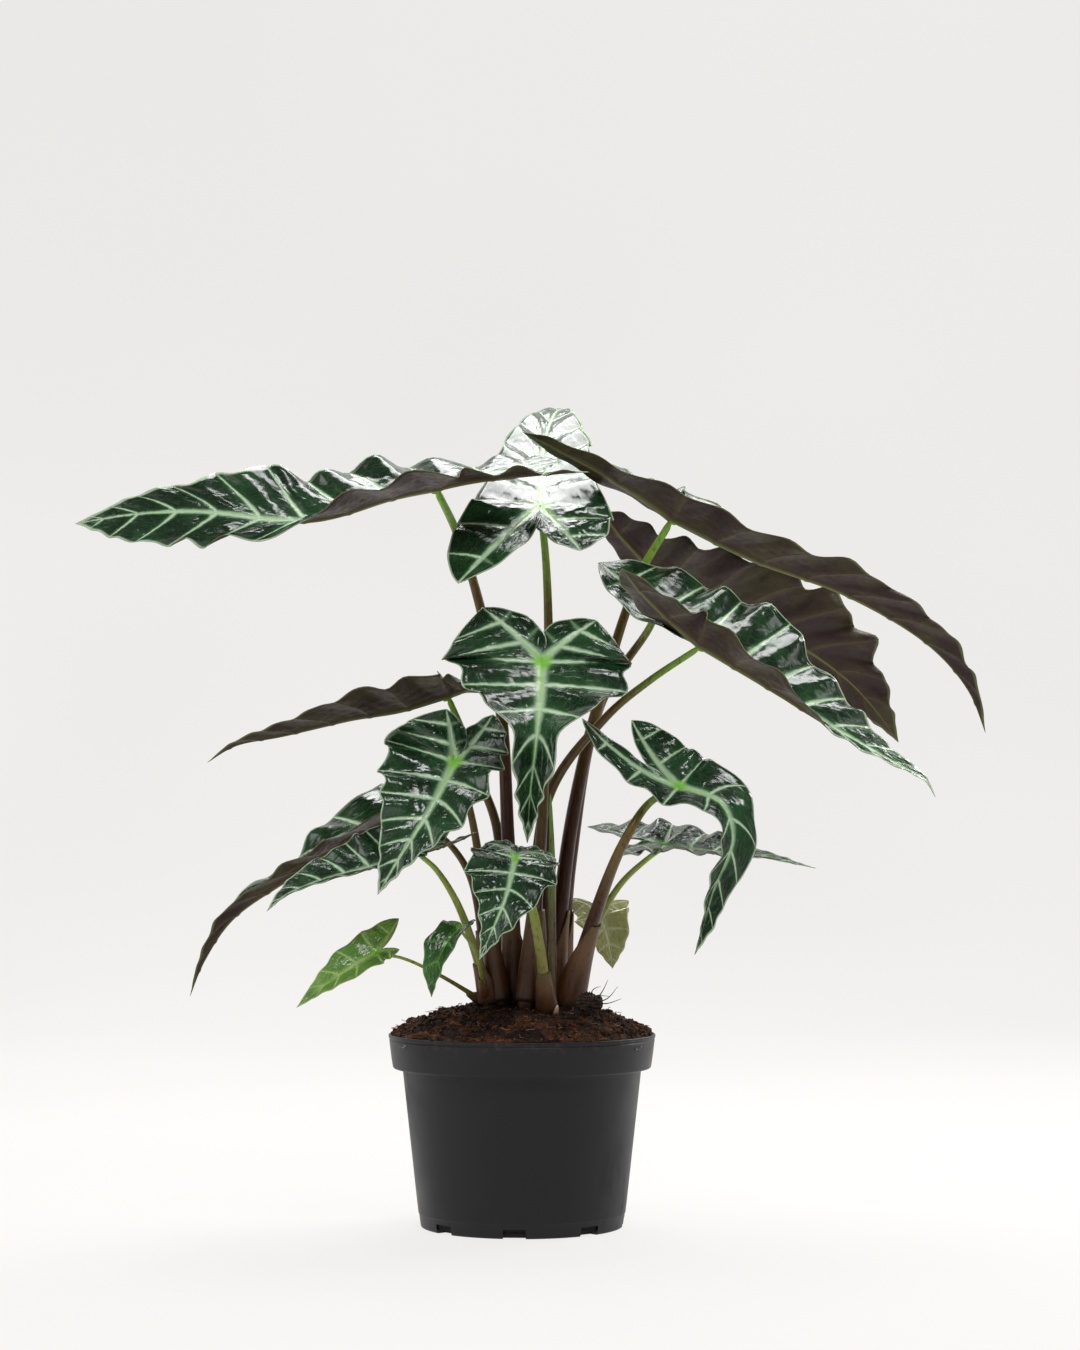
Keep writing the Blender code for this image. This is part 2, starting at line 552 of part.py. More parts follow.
def boolean(target, tools, operation):
    """Applies one Boolean for each tool and removes the tools."""
    for tool in tools:
        modifier = target.modifiers.new("cut", "BOOLEAN")
        modifier.operation = operation
        modifier.solver = "MANIFOLD"
        modifier.object = tool
    graph = bpy.context.evaluated_depsgraph_get()
    mesh = bpy.data.meshes.new_from_object(target.evaluated_get(graph))
    target.modifiers.clear()
    target.data = mesh
    for tool in tools:
        bpy.data.objects.remove(tool)


# ---------------------------------------------------------------- pot

def corner(centre, radius, start, end, steps=4):
    """Points round a quarter corner, from one angle in degrees to another."""
    return [(centre[0] + radius * math.cos(math.radians(a)),
             centre[1] + radius * math.sin(math.radians(a)))
            for a in np.linspace(start, end, steps)]


def body_radius(height):
    """The outside radius of the body at a height between base and collar."""
    under = POT_HEIGHT - COLLAR_HEIGHT
    top = RIM_RADIUS - COLLAR_TAPER - COLLAR_STEP
    return top - BODY_TAPER * (1 - height / under)


def pot_inside():
    """The hollow's profile from the floor up, as (radius, height)."""
    under = POT_HEIGHT - COLLAR_HEIGHT
    return [(body_radius(FLOOR) - WALL, FLOOR),
            (body_radius(under) - WALL, under + WALL),
            (RIM_RADIUS - COLLAR_TAPER - WALL, under + 2 * WALL + 0.0016),
            (RIM_RADIUS - WALL, POT_HEIGHT)]


def pot_profile():
    under = POT_HEIGHT - COLLAR_HEIGHT
    foot = body_radius(0) - FOOT_STEP
    collar = RIM_RADIUS - COLLAR_TAPER
    outside = [(0.0, 0.0)]
    outside += corner((foot - EDGE_ROUND, EDGE_ROUND), EDGE_ROUND, -90, 0)
    outside += [(body_radius(FOOT_HEIGHT) - FOOT_STEP, FOOT_HEIGHT),
                (body_radius(FOOT_HEIGHT), FOOT_HEIGHT + FOOT_STEP),
                (body_radius(under), under - EDGE_ROUND * 0.5)]
    outside += corner((collar - EDGE_ROUND, under + EDGE_ROUND), EDGE_ROUND, -90, 0)
    outside += [(RIM_RADIUS - RIM_LIP, POT_HEIGHT - 3 * RIM_LIP),
                (RIM_RADIUS, POT_HEIGHT - 2 * RIM_LIP),
                (RIM_RADIUS, POT_HEIGHT - 0.4 * RIM_LIP),
                (RIM_RADIUS - 0.5 * RIM_LIP, POT_HEIGHT)]
    inside = pot_inside()[::-1]
    return outside + inside + [(0.0, FLOOR)]


def notch_tool(angle):
    """A block that cuts one drain notch through the bottom edge."""
    outer, inner = body_radius(0) + 0.01, body_radius(0) - NOTCH_DEPTH
    half = NOTCH_WIDTH / 2
    way = np.array([math.cos(angle), math.sin(angle), 0.0])
    side = np.array([-math.sin(angle), math.cos(angle), 0.0])
    up = np.array([0.0, 0.0, 1.0])
    rings = [[way * r + side * s * half + up * h
              for s, h in ((-1, -0.01), (1, -0.01), (1, NOTCH_HEIGHT), (-1, NOTCH_HEIGHT))]
             for r in (inner, outer)]
    points, faces = skin(rings)
    return add_object("notch", points, faces, bpy.data.materials["pot_plastic"])


def build_pot():
    plastic = make_material("pot_plastic", POT_CHARCOAL, 0.55)
    points, faces = revolve(pot_profile(), POT_SIDES)
    pot = add_object("pot", points, faces, plastic)
    turns = [NOTCH_FIRST + 2 * math.pi * k / NOTCH_COUNT for k in range(NOTCH_COUNT)]
    boolean(pot, [notch_tool(turn) for turn in turns], "DIFFERENCE")


# ---------------------------------------------------------------- soil, roots and corm

def soil_top():
    return POT_HEIGHT - SOIL_EDGE_DROP + SOIL_MOUND


def soil_height(x, y):
    """The mound's surface: high in the middle, low at the rim, with a few broad lumps."""
    out = math.hypot(x, y) / (RIM_RADIUS - WALL)
    edge = POT_HEIGHT - SOIL_EDGE_DROP
    lumps = SOIL_LUMP * (math.sin(70 * x + 1.3) * math.cos(95 * y) + math.sin(160 * x * out + 80 * y))
    return edge + SOIL_MOUND * max(0.0, 1 - out**2.4) + lumps * min(1.0, 6 * max(0.0, 1 - out))


def soil_points():
    inside = [(r - CLEARANCE, z) for r, z in pot_inside()]
    inside[0] = (inside[0][0], FLOOR + CLEARANCE)
    edge = inside[-1][0] - (RIM_RADIUS - WALL - inside[-2][0]) * SOIL_EDGE_DROP / COLLAR_HEIGHT
    sides = POT_SIDES
    angles = 2 * np.pi * np.arange(sides) / sides
    rings = [np.stack([r * np.cos(angles), r * np.sin(angles), np.full(sides, z)], axis=1)
             for r, z in inside[:-1]]
    for share in (1.0, 0.93, 0.8, 0.62, 0.42, 0.2):
        x, y = edge * share * np.cos(angles), edge * share * np.sin(angles)
        rings.append(np.stack([x, y, [soil_height(a, b) for a, b in zip(x, y)]], axis=1))
    bottom = np.array([0.0, 0.0, FLOOR + CLEARANCE])
    peak = np.array([0.0, 0.0, soil_height(0.0, 0.0)])
    return skin(rings, bottom, peak)


def seat_height():
    """The top of the corm, where the sheaths stand."""
    return soil_top() - CORM_SINK


def root_profile(extra):
    """The root ball and corm's outline, grown by a clearance to make their seat in the soil."""
    top = seat_height()
    low = top - ROOT_DEPTH
    wide = CROWN_RADIUS + CORM_SHOULDER
    return [(0.0, low - extra), (ROOT_FOOT_RADIUS * 0.6 + extra, low - extra),
            (ROOT_FOOT_RADIUS + extra, low + 0.012),
            (wide + extra, top - CORM_HEIGHT * 0.5),
            (wide + extra, top + (0.02 if extra else 0.0)),
            (0.0, top + (0.02 if extra else 0.0))]


def build_soil():
    peat = make_material("peat", PEAT_BROWN, 0.95)
    soil = add_object("soil", *soil_points(), peat, smooth=False)
    points, faces = revolve(root_profile(CLEARANCE), 32, CROWN_CENTRE)
    boolean(soil, [add_object("seat", points, faces, peat)], "DIFFERENCE")


def build_roots():
    """The root ball below and the corm on it, with a clearance between them."""
    low, foot, belly, shoulder, _, _ = root_profile(0.0)
    split = seat_height() - CORM_HEIGHT
    share = (split - belly[1]) / (shoulder[1] - belly[1])
    radius = belly[0] + (shoulder[0] - belly[0]) * share
    roots = make_material("roots", ROOT_TAN, 0.9)
    profile = [low, foot, belly, (radius, split - CLEARANCE), (0.0, split - CLEARANCE)]
    add_object("root_ball", *revolve(profile, 32, CROWN_CENTRE), roots)
    corm = make_material("corm_skin", CORM_BROWN, 0.8)
    top = seat_height()
    profile = [(0.0, split), (radius, split), shoulder,
               (shoulder[0], top - 0.002), (shoulder[0] - 0.002, top), (0.0, top)]
    add_object("corm", *revolve(profile, 32, CROWN_CENTRE), corm)


def build_stub():
    """The dry end of an old shoot, lying on the soil."""
    bark = make_material("old_shoot_bark", CORM_BROWN, 0.9)
    x, y = STUB_PLACE
    reach = STUB_LENGTH / 2
    height = max(soil_height(x + dx, y + dy) for dx in (-reach, 0, reach)
                 for dy in (-STUB_RADIUS, 0, STUB_RADIUS))
    z = height + STUB_RADIUS + CLEARANCE
    path = Path([(x - reach, y, z), (x, y - 0.001, z + 0.001), (x + reach, y + 0.002, z)])
    radii = [STUB_RADIUS * share for share in (0.75, 1.0, 0.9, 0.6)]
    rings = tube_rings(path, radii, 8, 0.0, 1.0, 4)
    add_object("old_shoot", *skin(rings), bark)


# ---------------------------------------------------------------- crown, stalks and blades

def stalk_path(leaf, blade, top):
    """The stalk's centre line, ending just short of the blade's junction."""
    junction = blade.rib.at(0.0)
    points = place(leaf.stalk, top)
    into = unit(junction - points[-1])
    return Path(np.vstack([points, junction - into * STALK_SHORT]))


def share_at_height(path, height):
    shares = np.linspace(0, 1, 200)
    return float(shares[np.argmax(path.at(shares)[:, 2] > height)])


def stalk_radii(radii):
    foot, middle, tip = (r * MM for r in radii)
    return [foot, (foot + 3 * middle) / 4, middle, (middle + tip) / 2, tip]


def sheath_and_stalk(path, radii, split):
    """The rings below the crown's top and those above it."""
    height = seat_height() + CLEARANCE
    cut = share_at_height(path, soil_top() + split)
    low = share_at_height(path, height)
    gap = CLEARANCE / path.length
    sheath = tube_rings(path, radii, STALK_SIDES, low, cut, 3)
    stalk = tube_rings(path, radii, STALK_SIDES, cut + gap, 1.0, STALK_STEPS)
    for ring in sheath:
        ring[:, 2] = np.maximum(ring[:, 2], height)
    sheath[0][:, 2] = height
    return sheath, stalk


def build_leaves():
    top = soil_top()
    brown = make_material("petiole_skin", STALK_BROWN, 0.35)
    olive = make_material("thin_petiole_skin", STALK_OLIVE, 0.4)
    sheath_skin = make_material("sheath_skin", STALK_BROWN, 0.4)
    green = make_material("blade_green", LEAF_GREEN, 0.22)
    young = make_material("young_blade_green", YOUNG_GREEN, 0.35)
    pale = make_material("pale_blade_green", PALE_GREEN, 0.4)
    skins = {"small_left": young, "small_front": young, "pale_back": pale}
    sheaths = []
    for leaf in LEAVES:
        blade = Blade(leaf, top)
        columns = 2 if leaf.name in skins else 3
        points, faces = thicken(*sheet_of(blade.grids(2, columns)), BLADE_THICKNESS)
        add_object("blade_" + leaf.name, points, faces, skins.get(leaf.name, green))
        path = stalk_path(leaf, blade, top)
        sheath, stalk = sheath_and_stalk(path, stalk_radii(leaf.stalk_r), leaf.parts_at * MM)
        sheaths.append(add_object("sheath", *skin(sheath), sheath_skin))
        skin_color = olive if leaf.name in skins or leaf.name.startswith("low") else brown
        add_object("petiole_" + leaf.name, *skin(stalk), skin_color)
    return sheaths, young


def build_crown():
    """The sheathing feet of all the stalks grown together, and the rolled young leaf."""
    sheaths, young = build_leaves()
    path = Path(place(SPEAR, soil_top()))
    sheath, spear = sheath_and_stalk(path, stalk_radii(SPEAR_R), SPEAR_PARTS_AT * MM)
    sheaths.append(add_object("sheath", *skin(sheath), sheaths[0].data.materials[0]))
    add_object("rolled_young_leaf", *skin(spear), young)
    low = seat_height() + CLEARANCE
    plate = [(0.0, low), (CROWN_RADIUS, low), (CROWN_RADIUS, low + CROWN_PLATE * 0.4),
             (CROWN_RADIUS * 0.8, low + CROWN_PLATE), (0.0, low + CROWN_PLATE)]
    crown = add_object("crown", *revolve(plate, 32, CROWN_CENTRE), sheaths[0].data.materials[0])
    boolean(crown, sheaths, "UNION")


def main():
    for obj in list(bpy.data.objects):
        bpy.data.objects.remove(obj)
    build_pot()
    build_soil()
    build_roots()
    build_stub()
    build_crown()


main()
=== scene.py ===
"""Potted alocasia, finished for close viewing: arrow-shaped blades with pale veins, mottled stalks,
sheathing feet, peat with crumbs and fibres, and a moulded nursery pot, built round the fixed frame.

Metres, +Z up. Points of the plant are in millimetres from the top of the soil mound on the axis.
"""
import json
import math
from dataclasses import dataclass

import bpy
import numpy as np
from bpy.props import FloatProperty, FloatVectorProperty, IntProperty, PointerProperty
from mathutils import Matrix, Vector, noise

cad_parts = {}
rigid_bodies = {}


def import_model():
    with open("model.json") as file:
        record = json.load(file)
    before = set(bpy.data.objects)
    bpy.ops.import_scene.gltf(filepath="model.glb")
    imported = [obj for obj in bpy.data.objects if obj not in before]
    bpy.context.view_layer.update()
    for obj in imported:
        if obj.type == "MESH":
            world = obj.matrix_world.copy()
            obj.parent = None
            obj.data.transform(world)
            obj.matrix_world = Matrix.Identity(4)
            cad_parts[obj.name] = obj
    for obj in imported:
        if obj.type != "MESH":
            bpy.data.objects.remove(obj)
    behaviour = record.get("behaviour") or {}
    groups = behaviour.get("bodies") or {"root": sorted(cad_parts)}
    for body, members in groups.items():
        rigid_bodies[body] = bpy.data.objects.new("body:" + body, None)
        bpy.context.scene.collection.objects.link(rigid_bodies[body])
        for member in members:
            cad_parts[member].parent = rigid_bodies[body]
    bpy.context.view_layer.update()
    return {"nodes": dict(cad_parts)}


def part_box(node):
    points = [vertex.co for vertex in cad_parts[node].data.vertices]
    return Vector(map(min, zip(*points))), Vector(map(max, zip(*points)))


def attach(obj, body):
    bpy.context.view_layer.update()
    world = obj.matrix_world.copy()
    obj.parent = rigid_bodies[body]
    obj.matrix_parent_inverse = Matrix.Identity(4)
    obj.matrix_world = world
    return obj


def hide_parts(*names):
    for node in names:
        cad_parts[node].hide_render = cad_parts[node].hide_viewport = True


bl_info = {
    "name": "Potted alocasia",
    "version": (1, 0, 0),
    "blender": (4, 5, 0),
    "location": "3D View > Sidebar > Alocasia",
    "description": "Builds a potted alocasia piece by piece round its fixed frame",
    "category": "Object",
}

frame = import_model()

MM = 0.001
ROOT_BODY = "root"

# Pot, repeated from the frame's own design
POT_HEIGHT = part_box("pot")[1].z
RIM_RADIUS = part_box("pot")[1].x
COLLAR_HEIGHT = 0.0240
COLLAR_TAPER = 0.003
COLLAR_STEP = 0.007
BODY_TAPER = 0.0125
WALL = 0.0016
FLOOR = 0.0024
EDGE_ROUND = 0.0016
RIM_LIP = 0.0009
FOOT_HEIGHT = 0.010
FOOT_STEP = 0.0005
NOTCH_COUNT = 8
NOTCH_WIDTH = 0.017
NOTCH_HEIGHT = 0.0065
NOTCH_DEPTH = 0.009
NOTCH_FIRST = math.radians(-94)

# Raised ticks on the collar: degrees round the pot, half length, and rise from their middle line
TICKS = ((-152, 0.0042, 0.0), (-149.4, 0.0016, 0.0012), (-31, 0.0042, -0.001),
         (-28.4, 0.0016, 0.0004), (31, 0.0042, 0.0), (149, 0.0042, -0.001))
TICK_DROP = 0.0065          # their middle line below the rim
TICK_HALF_HEIGHT = 0.0005
TICK_ROOT = 0.0008          # how far a tick reaches into the collar
TICK_TAPER = 0.86           # length of a tick's face as a share of its root

# Soil
SOIL_EDGE_DROP = 0.001
SOIL_MOUND = 0.022
SOIL_LUMP = 0.0012
MOUND_TOP = POT_HEIGHT - SOIL_EDGE_DROP + SOIL_MOUND
CROWN_CENTRE = (0.008, 0.002)
CRUST_RINGS = 74
CRUST_SIDES = 230
CRUST_GAP = 0.0004          # air left between the loose peat and the pot's wall
CRUST_DEPTH = 0.0016        # the loose peat's underside below the firm mound
SCATTER_AREA = 0.031        # square metres that a count of crumbs or fibres is spread over
UPWARD = 0.3                # least upward share of the normal of a face that takes them
FULL_TURN = 6.28
FIBRE_RADIUS = 0.00022

# Sheathing feet
SHEATH_WRAP = 172           # degrees that a sheath reaches round each side at its foot
SHEATH_OPENING = 100        # degrees by which it has opened at its top
SHEATH_GAP = 0.0012         # from the stalk's skin to the sheath
SHEATH_SWELL = 0.0016       # how much further the sheath stands out at its foot
SHEATH_THICKNESS = 0.0007
SHEATH_FLARE = 0.22
SHEATH_REACH = 1.25         # a sheath's length as a share of the height where the stalk is free
SHEATH_LONGEST = 0.8        # and the most of the stalk that it may cover

# Leaves
SINUS_SHARE = 0.05
SCALLOP = 0.05
DRIFT = 0.04
VEIN_CROWDING = 1.15
VEIN_SWEEP = 0.55
RIDGE_SPREAD = 2.2          # millimetres from the midrib in which its ridge falls away
SIDE_RIDGE_SPREAD = 1.5     # and from a side vein
SIDE_RIDGE = 0.35           # height of a side vein's ridge as a share of the midrib's
GROOVE_SPREAD = 1.6
GROOVE_DEPTH = 0.0006       # groove over the midrib
WELD = 2e-6                 # points of two grids this close are one
JUNCTION_DROP = 0.0016      # the stalk's end below the blade's surface


@dataclass
class Leaf:
    """One leaf. Lists run from the stalk's junction to the tip, evenly spaced; left and right are
    the leaf's own, seen from above with the tip ahead. Lengths in millimetres, folds in degrees."""
    name: str
    rib: list
    face: list
    width_l: list
    width_r: list
    fold_l: list
    fold_r: list
    lobe_l: tuple
    lobe_r: tuple
    stalk: list
    stalk_r: tuple
    veins: int = 7
    lobe_veins: int = 3
    turn: float = 20.0
    fullness: float = 0.9
    inner: float = 0.2
    ruffle: float = 0.10
    parts_at: float = 52


LEAVES = [
    Leaf("long_left", veins=9, lobe_veins=3, turn=20, fullness=0.6, inner=0.25, ruffle=0.1,
         rib=[(-60, -40, 364), (-89, -50, 357), (-146, -60, 340), (-225, -60, 346), (-267, -55, 345),
              (-314, -45, 339)],
         face=[(0, -0.1, 1), (0, -0.3, 0.9), (0, -0.6, 0.8), (0, -0.85, 0.5), (0, -0.95, 0.35),
              (0, -0.95, 0.35), (0, -0.95, 0.35)],
         width_l=[50, 46, 34, 18, 25, 22, 0], width_r=[55, 52, 46, 42, 24, 14, 0],
         fold_l=[16, 30, 44, 0, 0, 5, 10], fold_r=[20, 20, 12, 5, 5, 5, 10],
         lobe_l=(47, -85, 371), lobe_r=(29, 10, 390),
         stalk=[(-5, -4, 3), (-10, -4, 118), (-16, -2, 216), (-34, 4, 298),
              (-47, 0, 337)], stalk_r=(7.5, 4.2, 2.6)),
    Leaf("long_right", veins=9, lobe_veins=3, turn=18, fullness=0.6, inner=0.2, ruffle=0.1,
         rib=[(109, 40, 350), (167, 45, 322), (240, 50, 295), (299, 55, 259), (328, 60, 226),
              (341, 65, 195)],
         face=[(0.35, 0.1, 0.9), (0.4, 0.1, 0.9), (0.5, 0.1, 0.9), (0.6, 0.1, 0.8), (0.8, 0.1, 0.6),
              (0.95, 0.1, 0.3)],
         width_l=[52, 46, 38, 34, 26, 14, 0], width_r=[30, 34, 34, 32, 27, 14, 0],
         fold_l=[46, 34, 26, 24, 25, 30, 30], fold_r=[30, 28, 28, 28, 30, 35, 35],
         lobe_l=(66, 120, 401), lobe_r=(1, -50, 403),
         stalk=[(20, 12, 2), (36, 22, 131), (56, 32, 218), (86, 48, 310)], stalk_r=(8, 4.6, 2.6)),
    Leaf("top", veins=6, lobe_veins=3, turn=25, fullness=1, inner=0.3, ruffle=0.1,
         rib=[(13, 4, 357), (14, 56, 387), (17, 115, 420), (25, 165, 445), (33, 200, 453)],
         face=[(0, -0.6, 0.8), (0, -0.5, 0.85), (0, -0.45, 0.9), (0, -0.3, 0.9)],
         width_l=[45, 39, 28, 18, 0], width_r=[47, 41, 34, 20, 0],
         fold_l=[8, 10, 10], fold_r=[3, 8, 10],
         lobe_l=(-44, -70, 295), lobe_r=(41, -45, 320),
         stalk=[(16, 10, 2), (17, 7, 152), (19, 10, 257), (17, 10, 318)], stalk_r=(7.5, 4.2, 2.4)),
    Leaf("back_right", veins=8, lobe_veins=3, turn=15, fullness=0.7, inner=0.3, ruffle=0.15,
         rib=[(109, 110, 311), (168, 130, 288), (211, 140, 264), (250, 150, 236), (273, 155, 211),
              (288, 160, 190)],
         face=[(0.4, 0.1, 0.9), (0.4, 0.5, 0.75), (0.4, 0.75, 0.5), (0.5, 0.75, 0.4)],
         width_l=[40, 30, 20, 22, 14, 0], width_r=[46, 48, 50, 44, 22, 0],
         fold_l=[10, -5, -20, -10], fold_r=[35, 28, 12, 5],
         lobe_l=(67, 180, 359), lobe_r=(59, 85, 360),
         stalk=[(26, 28, 1), (35, 42, 102), (57, 55, 215), (95, 80, 275)], stalk_r=(7.5, 4.2, 2.2)),
    Leaf("mid_right", veins=8, lobe_veins=3, turn=15, fullness=0.9, inner=0.3, ruffle=0.1,
         rib=[(125, -40, 253), (167, -50, 227), (216, -50, 197), (258, -45, 173), (283, -40, 159),
              (291, -35, 147)],
         face=[(0.5, -0.2, 0.85), (0.5, -0.3, 0.8), (0.45, -0.45, 0.75), (0.4, -0.5, 0.75),
              (0.8, -0.4, 0.4)],
         width_l=[64, 66, 52, 38, 24, 10, 0], width_r=[36, 34, 28, 12, 8, 4, 0],
         fold_l=[38, 36, 26, 16, 10, 8], fold_r=[42, 40, 34, 0, 0, 5],
         lobe_l=(55, 20, 317), lobe_r=(69, -100, 303),
         stalk=[(10, -10, 3), (18, -16, 145), (59, -26, 203), (90, -32, 229)], stalk_r=(7, 3.6, 2.2)),
    Leaf("heart", veins=7, lobe_veins=3, turn=30, fullness=1.05, inner=0.26, ruffle=0.045,
         rib=[(14, -50, 241), (13, -75, 214), (10, -95, 182), (6, -90, 148), (4, -85, 115)],
         face=[(0, -0.9, 0.45), (0, -0.9, 0.45), (0, -0.95, 0.2), (0, -1, 0)],
         width_l=[60, 60, 50, 25, 19, 12, 0], width_r=[66, 57, 46, 25, 19, 12, 0],
         fold_l=[5, 8, 16, 46, 52, 55, 60], fold_r=[5, 8, 16, 46, 52, 55, 60],
         lobe_l=(53, -30, 272), lobe_r=(-28, -30, 281),
         stalk=[(4, -24, 4), (13, -34, 110), (16, -36, 173), (16, -38, 215)], stalk_r=(7, 4, 2.2)),
    Leaf("mid_left", veins=7, lobe_veins=3, turn=15, fullness=0.9, inner=0.3, ruffle=0.1,
         rib=[(-53, 0, 219), (-87, 0, 209), (-123, 0, 203), (-173, 0, 191), (-205, 0, 184),
              (-225, 0, 172)],
         face=[(0, 0, 1), (0, 0, 1), (0, 0, 1), (-0.4, 0, 0.9)],
         width_l=[38, 36, 32, 22, 10, 0], width_r=[36, 34, 28, 20, 10, 0],
         fold_l=[30, 30, 28, 30], fold_r=[10, 10, 12, 15],
         lobe_l=(-25, -25, 228), lobe_r=(-26, 50, 236),
         stalk=[(-12, 10, 2), (-18, 14, 124), (-30, 12, 159), (-43, 8, 195)], stalk_r=(6.5, 3.6, 2.2)),
    Leaf("front_left", veins=7, lobe_veins=3, turn=26, fullness=0.9, inner=0.2, ruffle=0.1,
         rib=[(-47, -50, 171), (-63, -80, 138), (-84, -95, 104), (-98, -100, 80)],
         face=[(-0.1, -0.9, 0.4), (-0.1, -0.9, 0.4), (-0.1, -0.95, 0.3)],
         width_l=[36, 34, 24, 10, 0], width_r=[50, 44, 32, 16, 0],
         fold_l=[15, 15, 10], fold_r=[10, 10, 10],
         lobe_l=(-20, -40, 205), lobe_r=(-53, -40, 209),
         stalk=[(-17, -18, 4), (-28, -30, 89), (-35, -30, 131), (-42, -36, 159)], stalk_r=(6.5, 3.2, 2)),
    Leaf("droop_left", veins=8, lobe_veins=3, turn=15, fullness=0.6, inner=0.3, ruffle=0.1, parts_at=40,
         rib=[(-83, -12, 136), (-122, -22, 118), (-163, -30, 91), (-203, -35, 62), (-222, -40, 33),
              (-232, -40, 8)],
         face=[(-0.3, -0.3, 0.9), (-0.35, -0.2, 0.9), (-0.5, 0.3, 0.7), (-0.6, 0.5, 0.5),
              (-0.7, 0.5, 0.4)],
         width_l=[26, 25, 22, 18, 14, 8, 0], width_r=[42, 36, 28, 22, 16, 8, 0],
         fold_l=[30, 28, 14, 5, 5, 5], fold_r=[25, 22, 30, 60, 60, 50],
         lobe_l=(-40, -18, 152), lobe_r=(-42, 35, 163),
         stalk=[(-23, -2, 3), (-36, -6, 88), (-51, -5, 113), (-69, -6, 127)], stalk_r=(5.5, 2.8, 1.8)),
    Leaf("low_left", veins=7, lobe_veins=3, turn=18, fullness=0.8, inner=0.12, ruffle=0.1, parts_at=24,
         rib=[(-71, -60, 108), (-105, -70, 98), (-139, -70, 89), (-163, -70, 79), (-176, -70, 68)],
         face=[(-0.1, -0.55, 0.8), (-0.1, -0.6, 0.8), (-0.2, -0.6, 0.75)],
         width_l=[18, 14, 10, 5, 0], width_r=[36, 34, 26, 14, 0],
         fold_l=[30, 30, 20], fold_r=[10, 12, 12],
         lobe_l=(-30, -90, 123), lobe_r=(-52, -20, 129),
         stalk=[(-23, -20, 4), (-33, -36, 40), (-46, -50, 75), (-60, -55, 97)], stalk_r=(5.5, 2.8, 1.7)),
    Leaf("low_front", veins=6, lobe_veins=3, turn=26, fullness=0.9, inner=0.2, ruffle=0.1, parts_at=24,
         rib=[(-4, -80, 105), (-11, -110, 77), (-21, -120, 53), (-28, -125, 37)],
         face=[(0, -0.85, 0.5), (0, -0.9, 0.45), (0, -0.95, 0.3)],
         width_l=[29, 31, 20, 9, 0], width_r=[30, 31, 21, 9, 0],
         fold_l=[10, 10, 10], fold_r=[10, 10, 10],
         lobe_l=(24, -60, 104), lobe_r=(-25, -60, 115),
         stalk=[(18, -34, -2), (13, -52, 40), (7, -60, 72), (2, -68, 93)], stalk_r=(5.5, 3.4, 2)),
    Leaf("small_left", veins=5, lobe_veins=2, turn=16, fullness=0.8, inner=0.1, ruffle=0.04, parts_at=10,
         rib=[(-102, -50, 38), (-119, -55, 28), (-140, -60, 14), (-156, -60, 1)],
         face=[(-0.2, -0.8, 0.6), (-0.2, -0.8, 0.6)],
         width_l=[12, 10, 6, 0], width_r=[19, 16, 8, 0],
         fold_l=[10, 10], fold_r=[15, 15],
         lobe_l=(-85, -52, 41), lobe_r=(-86, -40, 62),
         stalk=[(-28, -14, 3), (-58, -30, 22), (-85, -45, 35)], stalk_r=(2.2, 1.3, 1)),
    Leaf("small_front", veins=4, lobe_veins=2, turn=16, fullness=0.8, inner=0.1, ruffle=0.04,
              parts_at=18,
         rib=[(-43, -60, 56), (-52, -70, 45), (-59, -75, 28), (-62, -75, 9)],
         face=[(-0.4, -0.8, 0.4), (-0.4, -0.8, 0.4)],
         width_l=[13, 12, 8, 0], width_r=[13, 14, 9, 0],
         fold_l=[30, 30], fold_r=[20, 20],
         lobe_l=(-37, -50, 58), lobe_r=(-53, -50, 60),
         stalk=[(-25, -22, 4), (-33, -55, 41)], stalk_r=(2, 1.3, 1)),
    Leaf("twisted_right", veins=7, lobe_veins=3, turn=18, fullness=0.9, inner=0.2, ruffle=0.1,
         rib=[(109, -80, 154), (137, -95, 142), (144, -100, 119), (130, -100, 81), (123, -100, 56),
              (118, -100, 39)],
         face=[(0.1, -0.75, 0.65), (0.3, -0.8, 0.5), (0.6, -0.7, 0.2), (0.5, -0.8, 0), (0.5, -0.8, 0)],
         width_l=[31, 25, 18, 16, 12, 8, 0], width_r=[20, 18, 16, 14, 10, 6, 0],
         fold_l=[5, 15, 25, 30, 40, 50], fold_r=[5, 15, 25, 30, 40, 50],
         lobe_l=(77, -40, 201), lobe_r=(42, -80, 201),
         stalk=[(33, -12, 0), (48, -30, 53), (70, -70, 114), (89, -64, 143)], stalk_r=(9, 4.2, 2.1)),
    Leaf("low_right", veins=7, lobe_veins=3, turn=18, fullness=0.8, inner=0.15, ruffle=0.1, parts_at=30,
         rib=[(101, -20, 113), (136, -25, 108), (171, -30, 105), (207, -30, 97)],
         face=[(0.1, -0.3, 0.95), (0.1, -0.3, 0.95)],
         width_l=[36, 30, 16, 6, 0], width_r=[26, 20, 12, 6, 0],
         fold_l=[12, 12], fold_r=[12, 12],
         lobe_l=(47, 30, 126), lobe_r=(64, -55, 106),
         stalk=[(36, 4, 2), (50, 4, 49), (70, -6, 85), (90, -12, 104)], stalk_r=(5, 2.6, 1.7)),
    Leaf("pale_back", veins=4, lobe_veins=2, turn=20, fullness=0.7, inner=0.1, ruffle=0.03, parts_at=10,
         rib=[(58, 70, 61), (63, 65, 44), (66, 60, 22)],
         face=[(0, -0.9, 0.4), (0, -0.9, 0.4)],
         width_l=[20, 17, 10, 0], width_r=[20, 14, 9, 0],
         fold_l=[5, 5], fold_r=[5, 5],
         lobe_l=(79, 80, 71), lobe_r=(35, 80, 73),
         stalk=[(36, 20, 1), (47, 50, 25), (53, 83, 46)], stalk_r=(2.4, 1.4, 1)),
]
